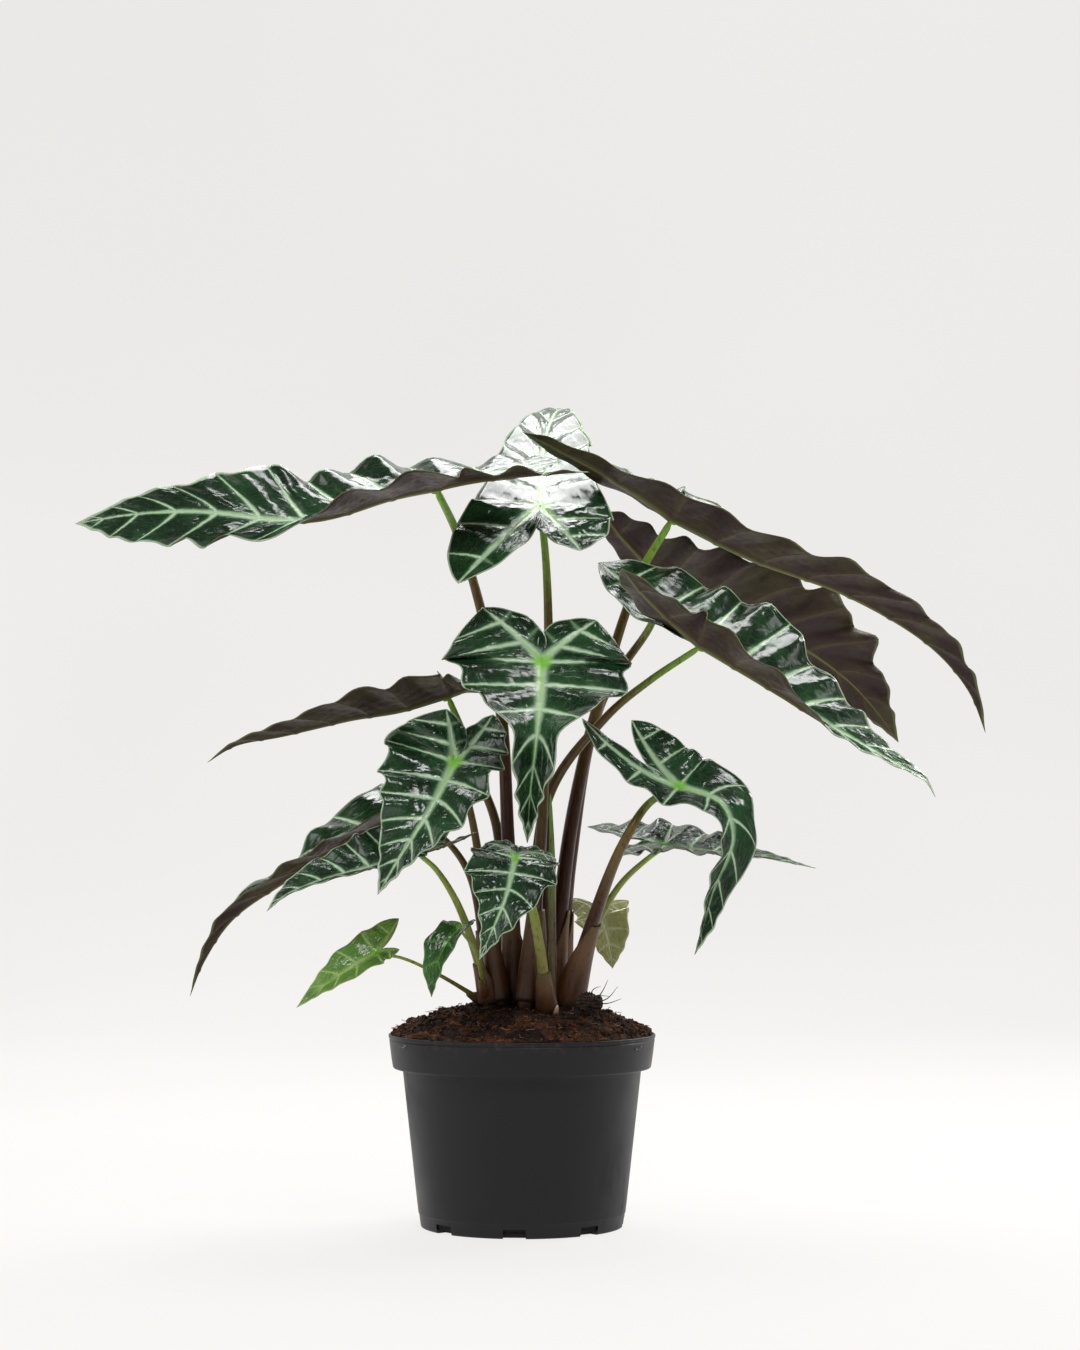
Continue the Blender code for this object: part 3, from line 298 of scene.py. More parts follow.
SPEAR = [(21, -22, 4), (21, -31, 60), (21, -40, 110), (20, -44, 150)]
SPEAR_R = (4.0, 3.2, 0.8)
DEAD_ROOTS = [[(4, -2, 2), (9, -4, 9), (13, -3, 17)], [(6, 2, 1), (13, 1, 4), (20, 3, 12)],
              [(2, -4, 2), (5, -9, 6), (14, -13, 6)], [(-5, -3, 2), (-8, -8, 5), (-6, -14, 2)],
              [(0, 1, 4), (3, 4, 10), (8, 3, 12)], [(7, -1, 0), (14, -6, 1), (22, -8, 4)]]
DEAD_ROOT_RADII = (0.00055, 0.00014)
BUD = [(23, -42, -8), (24, -46, -3), (25, -49, 2)]
BUD_RADIUS = 0.0019
MARGIN_WAVES = {"back_right": 0.13, "long_right": 0.12, "long_left": 0.06, "mid_right": 0.07}
YOUNG_LEAVES = ("small_left", "small_front")
PALE_LEAVES = ("pale_back",)
OLIVE_STALKS = ("low_left", "low_front", "low_right", "small_left", "small_front", "pale_back")

# Lights: place, aim, and width and height
LIGHTS = {
    "overhead": ((0.25, 0.6, 1.9), (0.0, 0.0, 0.35), (1.5, 1.0)),
    "behind": ((1.3, 1.0, 1.3), (0.0, 0.0, 0.3), (0.7, 0.5)),
    "front": ((0.25, -1.5, 2.1), (0.0, 0.0, 0.3), (0.8, 0.5)),
    "left": ((-1.9, -0.9, 1.1), (0.0, 0.0, 0.3), (1.0, 1.6)),
    "right": ((1.9, -0.3, 1.0), (0.0, 0.0, 0.3), (0.3, 1.2)),
}
RIGHT_SHARE = 0.25          # power of the light at the right as a share of the left one's

CAMERA_PLACE = (0.0128, -2.2, 0.2913)
CAMERA_TILT = 92.61
LENS = 82.0
SENSOR_WIDTH = 36.0

# Colours that no setting changes
DUST = "5b4636"
SCRATCH = "7d7c7a"
PEAT_SHADOW = "100804"
# Painted shade on the peat under the leaves
PEAT_PAINTED_SHADE = "120a06"
DARK_STRAW = "4a2a17"
ROOT_SHADOW = "2a180f"
ROOT_THREAD = "8a6a48"
UNDERSIDE_CLOUD = "302022"
UNDERSIDE_RIB = "7d8a4a"
UNDERSIDE_EDGE = "76804f"
STALK_SPOT = "2a1712"
PAPER = "5b5a59"


def linear(code):
    """A scene-linear colour from a screen colour's six hex digits."""
    parts = [int(code[k:k + 2], 16) / 255 for k in (0, 2, 4)]
    return (*(p / 12.92 if p <= 0.04045 else ((p + 0.055) / 1.055) ** 2.4 for p in parts), 1.0)


def color_property(label, text, code):
    return FloatVectorProperty(name=label, description=text, subtype="COLOR", size=4,
                               min=0.0, max=1.0, default=linear(code))


def length_property(label, text, metres, **more):
    return FloatProperty(name=label, description=text, default=metres, unit="LENGTH",
                         precision=5, **more)


# ---------------------------------------------------------------- settings

class PotSettings(bpy.types.PropertyGroup):
    sides: IntProperty(name="Sides", description="Facets round the pot", default=160, min=24)
    charcoal: color_property("Charcoal", "Main colour of the plastic", "121316")
    scuffed: color_property("Scuffed", "Colour of the rubbed patches", "212226")
    roughness: FloatProperty(name="Roughness", description="Roughness of the moulded plastic",
                             default=0.46, min=0.0, max=1.0, subtype="FACTOR")
    mark_height: length_property("Mark height", "How proud the moulded ticks stand", 0.0005)


class SoilSettings(bpy.types.PropertyGroup):
    cover: length_property("Cover", "Depth of loose peat over the firm mound", 0.0012)
    lumps: length_property("Lumps", "Height of the loose peat's lumps", 0.0030)
    crumbs: IntProperty(name="Crumbs", description="Number of loose crumbs", default=5600, min=0)
    crumb_size: length_property("Crumb size", "Width of the largest crumbs", 0.0056)
    fibres: IntProperty(name="Fibres", description="Number of root fibres", default=380, min=0)
    fibre_length: length_property("Fibre length", "Length of the longest fibres", 0.011)
    dark: color_property("Dark peat", "Colour of the damp peat", "1f110b")
    brown: color_property("Brown peat", "Colour of the drier peat", "5a371f")
    fibre: color_property("Fibre", "Colour of the fibres", "96683e")


class BladeSettings(bpy.types.PropertyGroup):
    rows: IntProperty(name="Rows per vein", description="Mesh rows between two veins",
                      default=10, min=4)
    columns: IntProperty(name="Columns", description="Mesh columns on each side of the midrib",
                         default=16, min=4)
    thickness: length_property("Thickness", "Thickness of the blade between its veins", 0.0008)
    ridge: length_property("Ridge", "How far the midrib stands out below", 0.0016)
    quilting: FloatProperty(name="Quilting", default=0.028, subtype="FACTOR",
                            description="Bulge between two veins, as a share of the half width")
    pucker: length_property("Pucker", "Height of the small puckers", 0.0008)
    frill: length_property("Frill", "Height of the fine waves at the margin", 0.0012)
    margin_wave: FloatProperty(name="Margin waves", default=0.035, subtype="FACTOR",
                               description="Unevenness of the margin, as a share of the half width")
    rib_half: length_property("Midrib band", "Half width of the pale midrib at the junction",
                              0.0048)
    side_half: length_property("Vein band", "Half width of a pale side vein at the midrib",
                               0.0019)
    dark: color_property("Dark green", "Darkest green between the veins", "0f2813")
    green: color_property("Green", "Lighter green between the veins", "2b5630")
    pale: color_property("Vein", "Pale mint of the veins", "bdd6b3")
    lime: color_property("Lime", "Yellow-green at the junction and along the midrib", "7cc636")
    purple: color_property("Purple", "Underside", "33221f")
    mauve: color_property("Mauve", "Veins of the underside", "55482f")
    olive: color_property("Olive", "Underside near its midrib and margin", "4d4a2a")


class StalkSettings(bpy.types.PropertyGroup):
    sides: IntProperty(name="Sides", description="Facets round a stalk", default=20, min=6)
    foot: color_property("Foot", "Colour of the sheathing feet", "4b2a12")
    maroon: color_property("Maroon", "Lower part of a stalk", "3b1c10")
    olive: color_property("Olive", "Middle of a stalk", "63501f")
    green: color_property("Green", "Top of a stalk", "7aa82f")
    roughness: FloatProperty(name="Roughness", description="Roughness of the stalk's skin",
                             default=0.34, min=0.0, max=1.0, subtype="FACTOR")


class StageSettings(bpy.types.PropertyGroup):
    floor: color_property("Floor", "Floor and backdrop", "f1efed")
    glow: FloatProperty(name="Glow", description="Even light of the studio paper itself",
                        default=0.93, min=0.0)
    sky: FloatProperty(name="Fill", description="Strength of the even light", default=0.16)
    top_power: FloatProperty(name="Overhead", description="Power of the overhead softbox",
                             default=38.0, unit="POWER")
    back_power: FloatProperty(name="Behind", description="Power of the light behind at the right",
                              default=16.0, unit="POWER")
    front_power: FloatProperty(name="Front", description="Power of the small light in front",
                               default=22.0, unit="POWER")
    side_power: FloatProperty(name="Side", description="Power of the softbox at the left",
                              default=14.0, unit="POWER")


# ---------------------------------------------------------------- curves and numbers

def unit(v):
    return v / np.maximum(np.linalg.norm(v, axis=-1, keepdims=True), 1e-12)


def smooth_step(x, low, high):
    x = np.clip((x - low) / (high - low), 0.0, 1.0)
    return x * x * (3 - 2 * x)


def hermite(start, end, slope_start, slope_end, x):
    return ((2 * x**3 - 3 * x**2 + 1) * start + (x**3 - 2 * x**2 + x) * slope_start
            + (-2 * x**3 + 3 * x**2) * end + (x**3 - x**2) * slope_end)


class Path:
    """A smooth curve through points, read by the share of its length."""

    def __init__(self, points):
        self.points = np.asarray(points, float)
        steps = np.sqrt(np.linalg.norm(np.diff(self.points, axis=0), axis=1))
        self.knots = np.concatenate([[0], np.cumsum(steps)])
        slopes = np.diff(self.points, axis=0) / steps[:, None]
        self.slopes = np.vstack([slopes[:1], slopes[1:], slopes[-1:]])
        for i in range(1, len(self.points) - 1):
            before, after = steps[i - 1], steps[i]
            self.slopes[i] = (slopes[i - 1] * after + slopes[i] * before) / (before + after)
        fine = np.linspace(0, self.knots[-1], 400)
        pieces = np.linalg.norm(np.diff(self.raw(fine), axis=0), axis=1)
        run = np.concatenate([[0], np.cumsum(pieces)])
        self.length = run[-1]
        self.fine, self.run = fine, run / run[-1]

    def raw(self, u):
        u = np.asarray(u, float)
        i = np.clip(np.searchsorted(self.knots, u, side="right") - 1, 0, len(self.knots) - 2)
        gap = self.knots[i + 1] - self.knots[i]
        x = ((u - self.knots[i]) / gap)[..., None]
        gap = gap[..., None]
        return hermite(self.points[i], self.points[i + 1],
                       gap * self.slopes[i], gap * self.slopes[i + 1], x)

    def at(self, share):
        return self.raw(np.interp(share, self.run, self.fine))

    def direction(self, share):
        share = np.asarray(share, float)
        step = 0.004
        return unit(self.at(np.clip(share + step, 0, 1)) - self.at(np.clip(share - step, 0, 1)))


def along(values, share):
    """Evenly spaced values read at a share of the way, smoothly and without overshoot."""
    values = np.asarray(values, float)
    n = len(values) - 1
    rise = np.diff(values) * n
    slope = np.concatenate([rise[:1], np.zeros(n - 1), rise[-1:]])
    for i in range(1, n):
        if rise[i - 1] * rise[i] > 0:
            slope[i] = 2 / (1 / rise[i - 1] + 1 / rise[i])
    x = np.clip(np.asarray(share, float), 0, 1) * n
    i = np.minimum(x.astype(int), n - 1)
    return hermite(values[i], values[i + 1], slope[i] / n, slope[i + 1] / n, x - i)


def blend_along(vectors, share):
    vectors = np.asarray(vectors, float)
    x = np.clip(np.asarray(share, float), 0, 1) * (len(vectors) - 1)
    i = np.minimum(x.astype(int), len(vectors) - 2)
    x = smooth_step(x - i, 0, 1)[..., None]
    return vectors[i] * (1 - x) + vectors[i + 1] * x


def place(points):
    """Plant points, in millimetres above the soil mound's top, in metres above the base."""
    return np.array(points, float) * MM + np.array([0.0, 0.0, MOUND_TOP])


# ---------------------------------------------------------------- the blade's surface

class Patch:
    """One grid of a blade: its points, which way its faces wind, and for each point the vein
    number, the side-signed share across, the distances in millimetres from the rib, the margin,
    the nearest side vein and the junction, and the share of the way to the tip."""

    def __init__(self, points, sign, vein, across, wide, way, side, junction, scale, inside=0.0):
        shape = points.shape[:2]
        self.points, self.sign = points, sign
        self.vein = np.broadcast_to(vein, shape)
        self.across = side * np.broadcast_to(across, shape)
        wide = np.broadcast_to(wide, shape)
        step = np.linalg.norm(np.gradient(points, axis=0), axis=2)
        step = step / np.abs(np.gradient(vein, axis=0))
        gap = np.abs(self.vein - np.round(self.vein)) * step
        share = np.abs(self.across)
        self.spans = np.stack([share * wide, (1 - share) * wide, gap], -1) / MM / scale
        self.start = np.linalg.norm(points - junction, axis=2) / MM / scale
        self.way = np.broadcast_to(way, shape)
        self.inside = inside * smooth_step(share, 0.0, 0.25)


class Blade:
    """The middle surface of one blade, as six grids: on each side the blade from the junction to
    the tip, the outer half of the basal lobe and its inner half beside the sinus."""

    def __init__(self, leaf, settings):
        self.leaf = leaf
        self.settings = settings
        self.rib = Path(place(leaf.rib))
        self.lobes = {-1: place([leaf.lobe_l])[0], 1: place([leaf.lobe_r])[0]}
        self.widths = {-1: np.array(leaf.width_l) * MM, 1: np.array(leaf.width_r) * MM}
        self.folds = {-1: np.radians(leaf.fold_l), 1: np.radians(leaf.fold_r)}
        self.seed = 0.7 * len(leaf.name) + leaf.rib[0][0] * 0.11
        widest = max(self.widths[-1].max(), self.widths[1].max())
        self.scale = min(1.0, max(0.35, 0.5 * (self.rib.length / 0.22 + widest / 0.045)))

    def frame(self, share):
        """Direction of the midrib, the upper side's normal and the leaf's own right."""
        ahead = self.rib.direction(share)
        face = blend_along(self.leaf.face, share)
        normal = unit(face - (face * ahead).sum(-1, keepdims=True) * ahead)
        return ahead, normal, np.cross(ahead, normal)

    def half_frame(self, share, side):
        """The directions out along one folded half and off its upper surface."""
        _, normal, right = self.frame(share)
        fold = along(self.folds[side], share)[..., None]
        return (side * np.cos(fold) * right + np.sin(fold) * normal,
                -side * np.sin(fold) * right + np.cos(fold) * normal)

    def ruffle(self, vein, across, side, way):
        wide = self.widths[side].max()
        wave = -self.leaf.ruffle * np.cos(2 * np.pi * vein)
        drift = DRIFT * np.sin(2 * np.pi * way * vein * 0.37 + side + self.seed)
        return wide * across**2 * (wave + drift)

    def relief(self, vein, across, wide, side):
        """What the finished blade adds to the plain one: quilting, puckers and a frilled margin."""
        s = self.settings
        quilt = s.quilting * wide * (0.5 - 0.5 * np.cos(2 * np.pi * vein)) * np.sin(np.pi * across)
        seed = self.seed + 3.1 * side
        pucker = (np.sin(9.0 * vein + 14 * across + seed) * np.sin(21 * across - 5 * vein + 2 * seed)
                  + 0.6 * np.sin(23 * vein - 9 * across + 3 * seed))
        pucker = s.pucker * self.scale * pucker * np.sin(np.pi * np.clip(across, 0, 1)) ** 0.7
        frill = s.frill * self.scale * across**3 * (
            np.sin(2.6 * np.pi * vein + seed) + 0.5 * np.sin(3.9 * np.pi * vein + 2 * seed))
        local = np.clip(wide / max(self.widths[-1].max(), self.widths[1].max()), 0, 1)
        return quilt + (pucker + frill) * local

    def scallop(self, vein, across):
        """The margin's outline: a shallow scallop between veins and slower, uneven waves."""
        wavy = MARGIN_WAVES.get(self.leaf.name, self.settings.margin_wave)
        slow = np.sin(5.1 * vein + self.seed) + 0.6 * np.sin(8.3 * vein + 2.3 * self.seed)
        return 1 + (SCALLOP * np.cos(2 * np.pi * vein) + wavy * across**4 * slow
                    * np.sin(np.pi * np.clip(vein / self.leaf.veins, 0, 1))) * across

    def shares_across(self, columns):
        """Columns stand closer together beside the rib and at the margin."""
        t = np.linspace(0, 1, columns + 1)
        return (0.35 * t + 0.65 * t**1.7)[None, :]

    def main(self, side):
        leaf, widths, rows = self.leaf, self.widths[side], self.settings.rows
        vein = np.arange(leaf.veins * rows + 1)[:, None] / rows
        across = self.shares_across(self.settings.columns)
        start = 1 - (1 - vein / leaf.veins) ** VEIN_CROWDING
        end = start + VEIN_SWEEP * start * (1 - start)
        share = start + (end - start) * across**1.3
        wide = along(widths, end)
        out, up = self.half_frame(share, side)
        lift = self.ruffle(vein, across, side, 1) * wide / widths.max()
        lift = lift * (1 - smooth_step(start, 0.75, 1.0))
        lift = lift + self.relief(vein, across, wide, side)
        reach = wide * across * self.scallop(vein, across)
        points = self.rib.at(share) + reach[..., None] * out + lift[..., None] * up
        return Patch(points, side, vein, across, wide, start, side, self.rib.at(0.0), self.scale)

    def lobe(self, side):
        """The outer and the inner half of one basal lobe, both from the lobe's own rib."""
        leaf, widths, rows = self.leaf, self.widths[side], self.settings.rows
        root, tip = self.rib.at(0.0), self.lobes[side]
        ahead, _, _ = self.frame(0.0)
        out, up = self.half_frame(0.0, side)
        turn = math.radians(leaf.turn)
        back = -math.cos(turn) * ahead + math.sin(turn) * out
        outward = math.sin(turn) * ahead + math.cos(turn) * out
        reach = np.linalg.norm(tip - root)
        handle = root + back * reach * 0.33
        far_handle = tip - (tip - (root + back * reach * 0.4)) * 0.33

        def rib(share):
            share = np.asarray(share)[..., None]
            return ((1 - share) ** 3 * root + 3 * share * (1 - share) ** 2 * handle
                    + 3 * share**2 * (1 - share) * far_handle + share**3 * tip)

        shares = np.arange(leaf.lobe_veins * rows + 1) / rows / leaf.lobe_veins
        step = 1e-3
        way = unit(rib(np.clip(shares + step, 0, 1)) - rib(np.clip(shares - step, 0, 1)))
        way[0] = back
        normal = unit(up - (up * way).sum(-1, keepdims=True) * way)
        outs = unit(np.cross(normal, way))
        if outs[0] @ outward < 0:
            outs = -outs
        base = float(along(widths, 0.0))
        share = shares[:, None]
        vein = share * leaf.lobe_veins
        across = self.shares_across(self.settings.columns)
        full = leaf.fullness + (1 - leaf.fullness) * (1 - smooth_step(share, 0, 0.4))
        scallop = 1 + SCALLOP * np.cos(2 * np.pi * vein) * across * (1 - share)
        reach_out = base * math.cos(turn) * np.maximum(1 - share**2.2, 0) ** 0.9 * scallop * full
        reach_on = base * math.sin(turn) * (1 - share) * across * scallop
        taper = 1 - share**1.5
        lift = self.ruffle(vein, across, side, -1) * base / widths.max() * taper
        lift = lift + self.relief(-vein, across, base * taper, side)
        along_rib = rib(shares)[:, None]
        points = (along_rib + reach_on[..., None] * way[:, None]
                  + (across * reach_out)[..., None] * outs[:, None]
                  + lift[..., None] * normal[:, None])
        wide = base * taper * np.ones_like(across)
        outer = Patch(points, -side, -vein, across, wide, share, side, root, self.scale)

        sinus = SINUS_SHARE * self.rib.length
        widest = max(self.widths[-1][0], self.widths[1][0])
        reach_in = (sinus * math.sin(turn) * (1 - share)
                    + leaf.inner * widest * np.sin(np.pi * share**0.8))
        reach_on = sinus * math.cos(turn) * (1 - share) * across
        lift = 0.5 * leaf.ruffle * widest * across**2 * (1 - np.cos(2 * np.pi * vein)) * (1 - share)
        points = (along_rib + reach_on[..., None] * way[:, None]
                  - (across * reach_in)[..., None] * outs[:, None]
                  + lift[..., None] * normal[:, None])
        wide = np.maximum(reach_in, 1e-4) * np.ones_like(across)
        inner = Patch(points, side, -vein, across, wide, share, -side, root, self.scale, 1.0)
        return outer, inner

    def patches(self):
        for side in (-1, 1):
            outer, inner = self.lobe(side)
            yield self.main(side)
            yield outer
            yield inner


def sheet_of(patches):
    """One welded sheet, as points, quads and the patches' values, from grids that share edges."""
    points, values, quads, count = [], [], [], 0
    for patch in patches:
        rows, columns = patch.points.shape[:2]
        number = count + np.arange(rows * columns).reshape(rows, columns)
        count += rows * columns
        points.append(patch.points.reshape(-1, 3))
        values.append(np.concatenate([patch.vein[..., None], patch.across[..., None], patch.spans,
                                      patch.start[..., None], patch.way[..., None],
                                      patch.inside[..., None]], -1).reshape(-1, 8))
        corners = np.stack([number[:-1, :-1], number[1:, :-1], number[1:, 1:], number[:-1, 1:]], -1)
        corners = corners.reshape(-1, 4)
        quads.append(corners[:, ::-1] if patch.sign > 0 else corners)
    points, values, quads = np.concatenate(points), np.concatenate(values), np.concatenate(quads)
    _, first, index = np.unique(np.round(points / WELD).astype(np.int64), axis=0,
                                return_index=True, return_inverse=True)
    index = index.reshape(-1)
    faces = []
    for quad in index[quads]:
        ring = [int(v) for k, v in enumerate(quad) if v != quad[k - 1]]
        if len(set(ring)) == len(ring) and len(ring) > 2:
            faces.append(ring)
    return points[first], values[first], faces


def sheet_normals(points, faces):
    normals = np.zeros_like(points)
    for ring in faces:
        a, b, c, d = (points[v] for v in (ring[0], ring[1], ring[2], ring[-1]))
        turned = np.cross(c - a, d - b) if len(ring) == 4 else np.cross(b - a, c - a)
        for v in ring:
            normals[v] += turned
    return unit(normals)


def open_edges(faces):
    edges = {(ring[k - 1], v) for ring in faces for k, v in enumerate(ring)}
    return [edge for edge in edges if edge[::-1] not in edges]


# ---------------------------------------------------------------- materials

class Graph:
    """The nodes of one material, added and joined in short calls."""

    def __init__(self, name, roughness, specular=0.5):
        self.material = bpy.data.materials.new(name)
        self.material.use_nodes = True
        self.tree = self.material.node_tree
        self.shader = self.tree.nodes["Principled BSDF"]
        self.shader.inputs["Specular IOR Level"].default_value = specular
        self.set("Roughness", roughness)

    def set(self, socket, value):
        self.put(self.shader.inputs[socket], value)

    def put(self, socket, value):
        if isinstance(value, bpy.types.NodeSocket):
            self.tree.links.new(value, socket)
        else:
            socket.default_value = value

    def add(self, kind, inputs, output=0, **settings):
        node = self.tree.nodes.new(kind)
        for key, value in settings.items():
            setattr(node, key, value)
        for key, value in inputs.items():
            self.put(node.inputs[key], value)
        return node.outputs[output]

    def math(self, operation, a, b=0.0, clamp=False):
        return self.add("ShaderNodeMath", {0: a, 1: b}, operation=operation, use_clamp=clamp)

    def step(self, value, start, end, low=0.0, high=1.0):
        """A smooth change from low to high as the value goes from start to end."""
        return self.add("ShaderNodeMapRange", {"Value": value, "From Min": start, "From Max": end,
                                               "To Min": low, "To Max": high},
                        interpolation_type="SMOOTHSTEP")

    def mix(self, share, a, b, blend="MIX"):
        return self.add("ShaderNodeMix", {0: share, 6: a, 7: b}, output=2,
                        data_type="RGBA", blend_type=blend)

    def attribute(self, name, output=2):
        return self.add("ShaderNodeAttribute", {}, output=output, attribute_name=name)

    def parts(self, vector):
        node = self.tree.nodes.new("ShaderNodeSeparateXYZ")
        self.put(node.inputs[0], vector)
        return node.outputs

    def place(self, stretch=(1.0, 1.0, 1.0)):
        """The object's own coordinates, stretched."""
        own = self.add("ShaderNodeTexCoord", {}, output=3)
        return self.add("ShaderNodeMapping", {"Vector": own, "Scale": stretch})

    def noise(self, vector, scale, detail=3.0, roughness=0.5, distortion=0.0):
        return self.add("ShaderNodeTexNoise", {"Vector": vector, "Scale": scale, "Detail": detail,
                                               "Roughness": roughness, "Distortion": distortion})

    def coat(self, weight, roughness):
        self.set("Coat Weight", weight)
        self.set("Coat Roughness", roughness)

    def bump(self, height, distance, strength=1.0, normal=None):
        inputs = {"Height": height, "Distance": distance, "Strength": strength}
        if normal is not None:
            inputs["Normal"] = normal
        bumped = self.add("ShaderNodeBump", inputs)
        self.set("Normal", bumped)
        return bumped


def pot_plastic(s):
    """Moulded charcoal plastic: fine vertical rub marks, a dusty bloom and a faint grain."""
    g = Graph("pot_plastic", s.roughness, 0.3)
    place = g.place()
    bloom = g.noise(place, 14.0, 4.0, 0.6)
    streaks = g.noise(g.place((1.0, 1.0, 0.06)), 260.0, 3.0, 0.6)
    rub = g.step(g.math("MULTIPLY", streaks, g.step(bloom, 0.42, 0.66)), 0.36, 0.60)
    height = g.parts(place)[2]
    dust = g.math("MULTIPLY", g.step(height, POT_HEIGHT - 0.012, POT_HEIGHT), 0.35)
    dust = g.math("MULTIPLY", dust, g.step(g.noise(place, 160.0, 4.0, 0.65), 0.5, 0.72))
    color = g.mix(g.math("MULTIPLY", rub, 0.42), s.charcoal, s.scuffed)
    color = g.mix(g.step(bloom, 0.3, 0.75, 0.0, 0.22), color, s.scuffed)
    color = g.mix(dust, color, linear(DUST))
    g.set("Base Color", color)
    g.set("Roughness", g.math("ADD", g.step(bloom, 0.3, 0.7, s.roughness - 0.07, s.roughness + 0.06),
                              g.math("MULTIPLY", rub, 0.12)))
    grain = g.noise(place, 1500.0, 2.0)
    first = g.bump(grain, 0.0001, 0.25)
    g.bump(streaks, 0.0002, 0.22, first)
    return g.material


def scuffed_plastic(s):
    """The same plastic where it has been rubbed pale."""
    g = Graph("scuffed_plastic", 0.6, 0.3)
    scratches = g.noise(g.place((1.0, 1.0, 0.2)), 900.0, 3.0)
    g.set("Base Color", g.mix(g.step(scratches, 0.4, 0.6), s.scuffed, linear(SCRATCH)))
    g.bump(scratches, 0.0001, 0.5)
    return g.material


def peat(s):
    """Damp, crumbly peat: dark with rusty patches and a coarse, broken surface; painted shade darkens it
    under the leaves.
    """
    g = Graph("peat", 0.95, 0.25)
    place = g.place()
    patches = g.noise(place, 90.0, 6.0, 0.65)
    grains = g.noise(place, 650.0, 4.0, 0.6)
    broad = g.noise(place, 26.0, 3.0, 0.55)
    color = g.mix(g.step(patches, 0.42, 0.66), s.dark, s.brown)
    color = g.mix(g.step(grains, 0.58, 0.74, 0.0, 0.5), color, s.fibre)
    color = g.mix(g.step(grains, 0.48, 0.30, 0.0, 0.8), color, linear(PEAT_SHADOW))
    # Painted shade: the peat is darkened towards the middle, where the leaves hang over it
    out = g.add("ShaderNodeVectorMath", {0: g.place((1.0, 1.0, 0.0))}, output=1, operation="LENGTH")
    painted_shade = g.step(g.math("ADD", out, g.math("MULTIPLY", broad, 0.05)), 0.058, 0.105, 0.72, 0.0)
    color = g.mix(painted_shade, color, linear(PEAT_PAINTED_SHADE))
    g.set("Base Color", color)
    first = g.bump(patches, 0.004, 0.7)
    g.bump(grains, 0.0015, 0.9, first)
    return g.material


def fibre_straw(s):
    g = Graph("peat_fibre", 0.8, 0.3)
    place = g.place()
    shade = g.noise(place, 120.0, 3.0)
    g.set("Base Color", g.mix(g.step(shade, 0.35, 0.65), linear(DARK_STRAW), s.fibre))
    g.bump(g.noise(place, 2400.0, 2.0), 0.0002, 0.6)
    return g.material


def root_skin():
    g = Graph("roots", 0.85, 0.3)
    place = g.place((1.0, 1.0, 0.3))
    threads = g.noise(place, 420.0, 5.0, 0.7, 1.0)
    g.set("Base Color", g.mix(g.step(threads, 0.42, 0.62), linear(ROOT_SHADOW), linear(ROOT_THREAD)))
    g.bump(threads, 0.002, 0.8)
    return g.material


def bark(name, dark, light):
    """Ringed brown skin, as on a corm or the dry end of an old shoot."""
    g = Graph(name, 0.8, 0.3)
    place = g.place()
    rings = g.add("ShaderNodeTexWave", {"Vector": place, "Scale": 130.0, "Distortion": 5.0,
                                        "Detail": 3.0}, output=1, bands_direction="Z")
    flakes = g.noise(place, 300.0, 5.0, 0.6)
    color = g.mix(g.math("MULTIPLY", rings, g.step(flakes, 0.35, 0.65)), linear(dark), linear(light))
    g.set("Base Color", color)
    first = g.bump(rings, 0.0006, 0.7)
    g.bump(flakes, 0.0008, 0.7, first)
    return g.material


def vein_masks(g, s):
    """Where the pale bands lie, read from the blade's own distances, in millimetres."""
    rib, margin, gap = g.parts(g.attribute("span", 1))[:3]
    way = g.attribute("way")
    start = g.attribute("start")
    own = g.place()
    wander = g.math("MULTIPLY", g.math("SUBTRACT", g.noise(own, 110.0, 3.0), 0.5), 1.5)
    fray = g.math("MULTIPLY", g.math("SUBTRACT", g.noise(own, 480.0, 3.0), 0.5), 1.2)
    off = g.math("ADD", wander, fray)
    rib_half = g.step(way, -0.2, 1.1, s.rib_half / MM, 0.45)
    rib_far = g.math("ADD", rib, off)
    band = g.step(g.math("DIVIDE", rib_far, rib_half), 1.6, 0.15)
    reach = g.math("DIVIDE", rib, g.math("ADD", g.math("ADD", rib, margin), 0.01))
    side_half = g.step(reach, 0.0, 1.0, s.side_half / MM, s.side_half / MM * 0.42)
    side_half = g.math("MULTIPLY", side_half, g.step(way, 0.3, 1.1, 1.0, 0.55))
    inside = g.attribute("inside")
    vein_far = g.math("DIVIDE", g.math("ADD", gap, off), side_half)
    side = g.step(vein_far, 1.9, 0.1)
    side = g.math("MULTIPLY", side, g.math("SUBTRACT", 1.0, g.math("MULTIPLY", inside, 0.72)))
    side = g.math("MULTIPLY", side, g.step(margin, 0.0, 5.0, 0.55, 1.0))
    veins = g.math("MAXIMUM", band, side)
    rib_halo = g.step(g.math("DIVIDE", rib_far, rib_half), 2.8, 0.8)
    halo = g.math("MAXIMUM", g.step(vein_far, 4.2, 0.8), rib_halo)
    line = g.step(g.math("DIVIDE", rib, rib_half), 0.75, 0.15)
    star = g.step(g.math("ADD", start, g.math("MULTIPLY", off, 1.5)), 11.0, 2.5)
    edge = g.step(margin, 1.3, 0.35)
    return {"veins": veins, "halo": halo, "line": line, "star": star, "edge": edge, "way": way,
            "own": own}


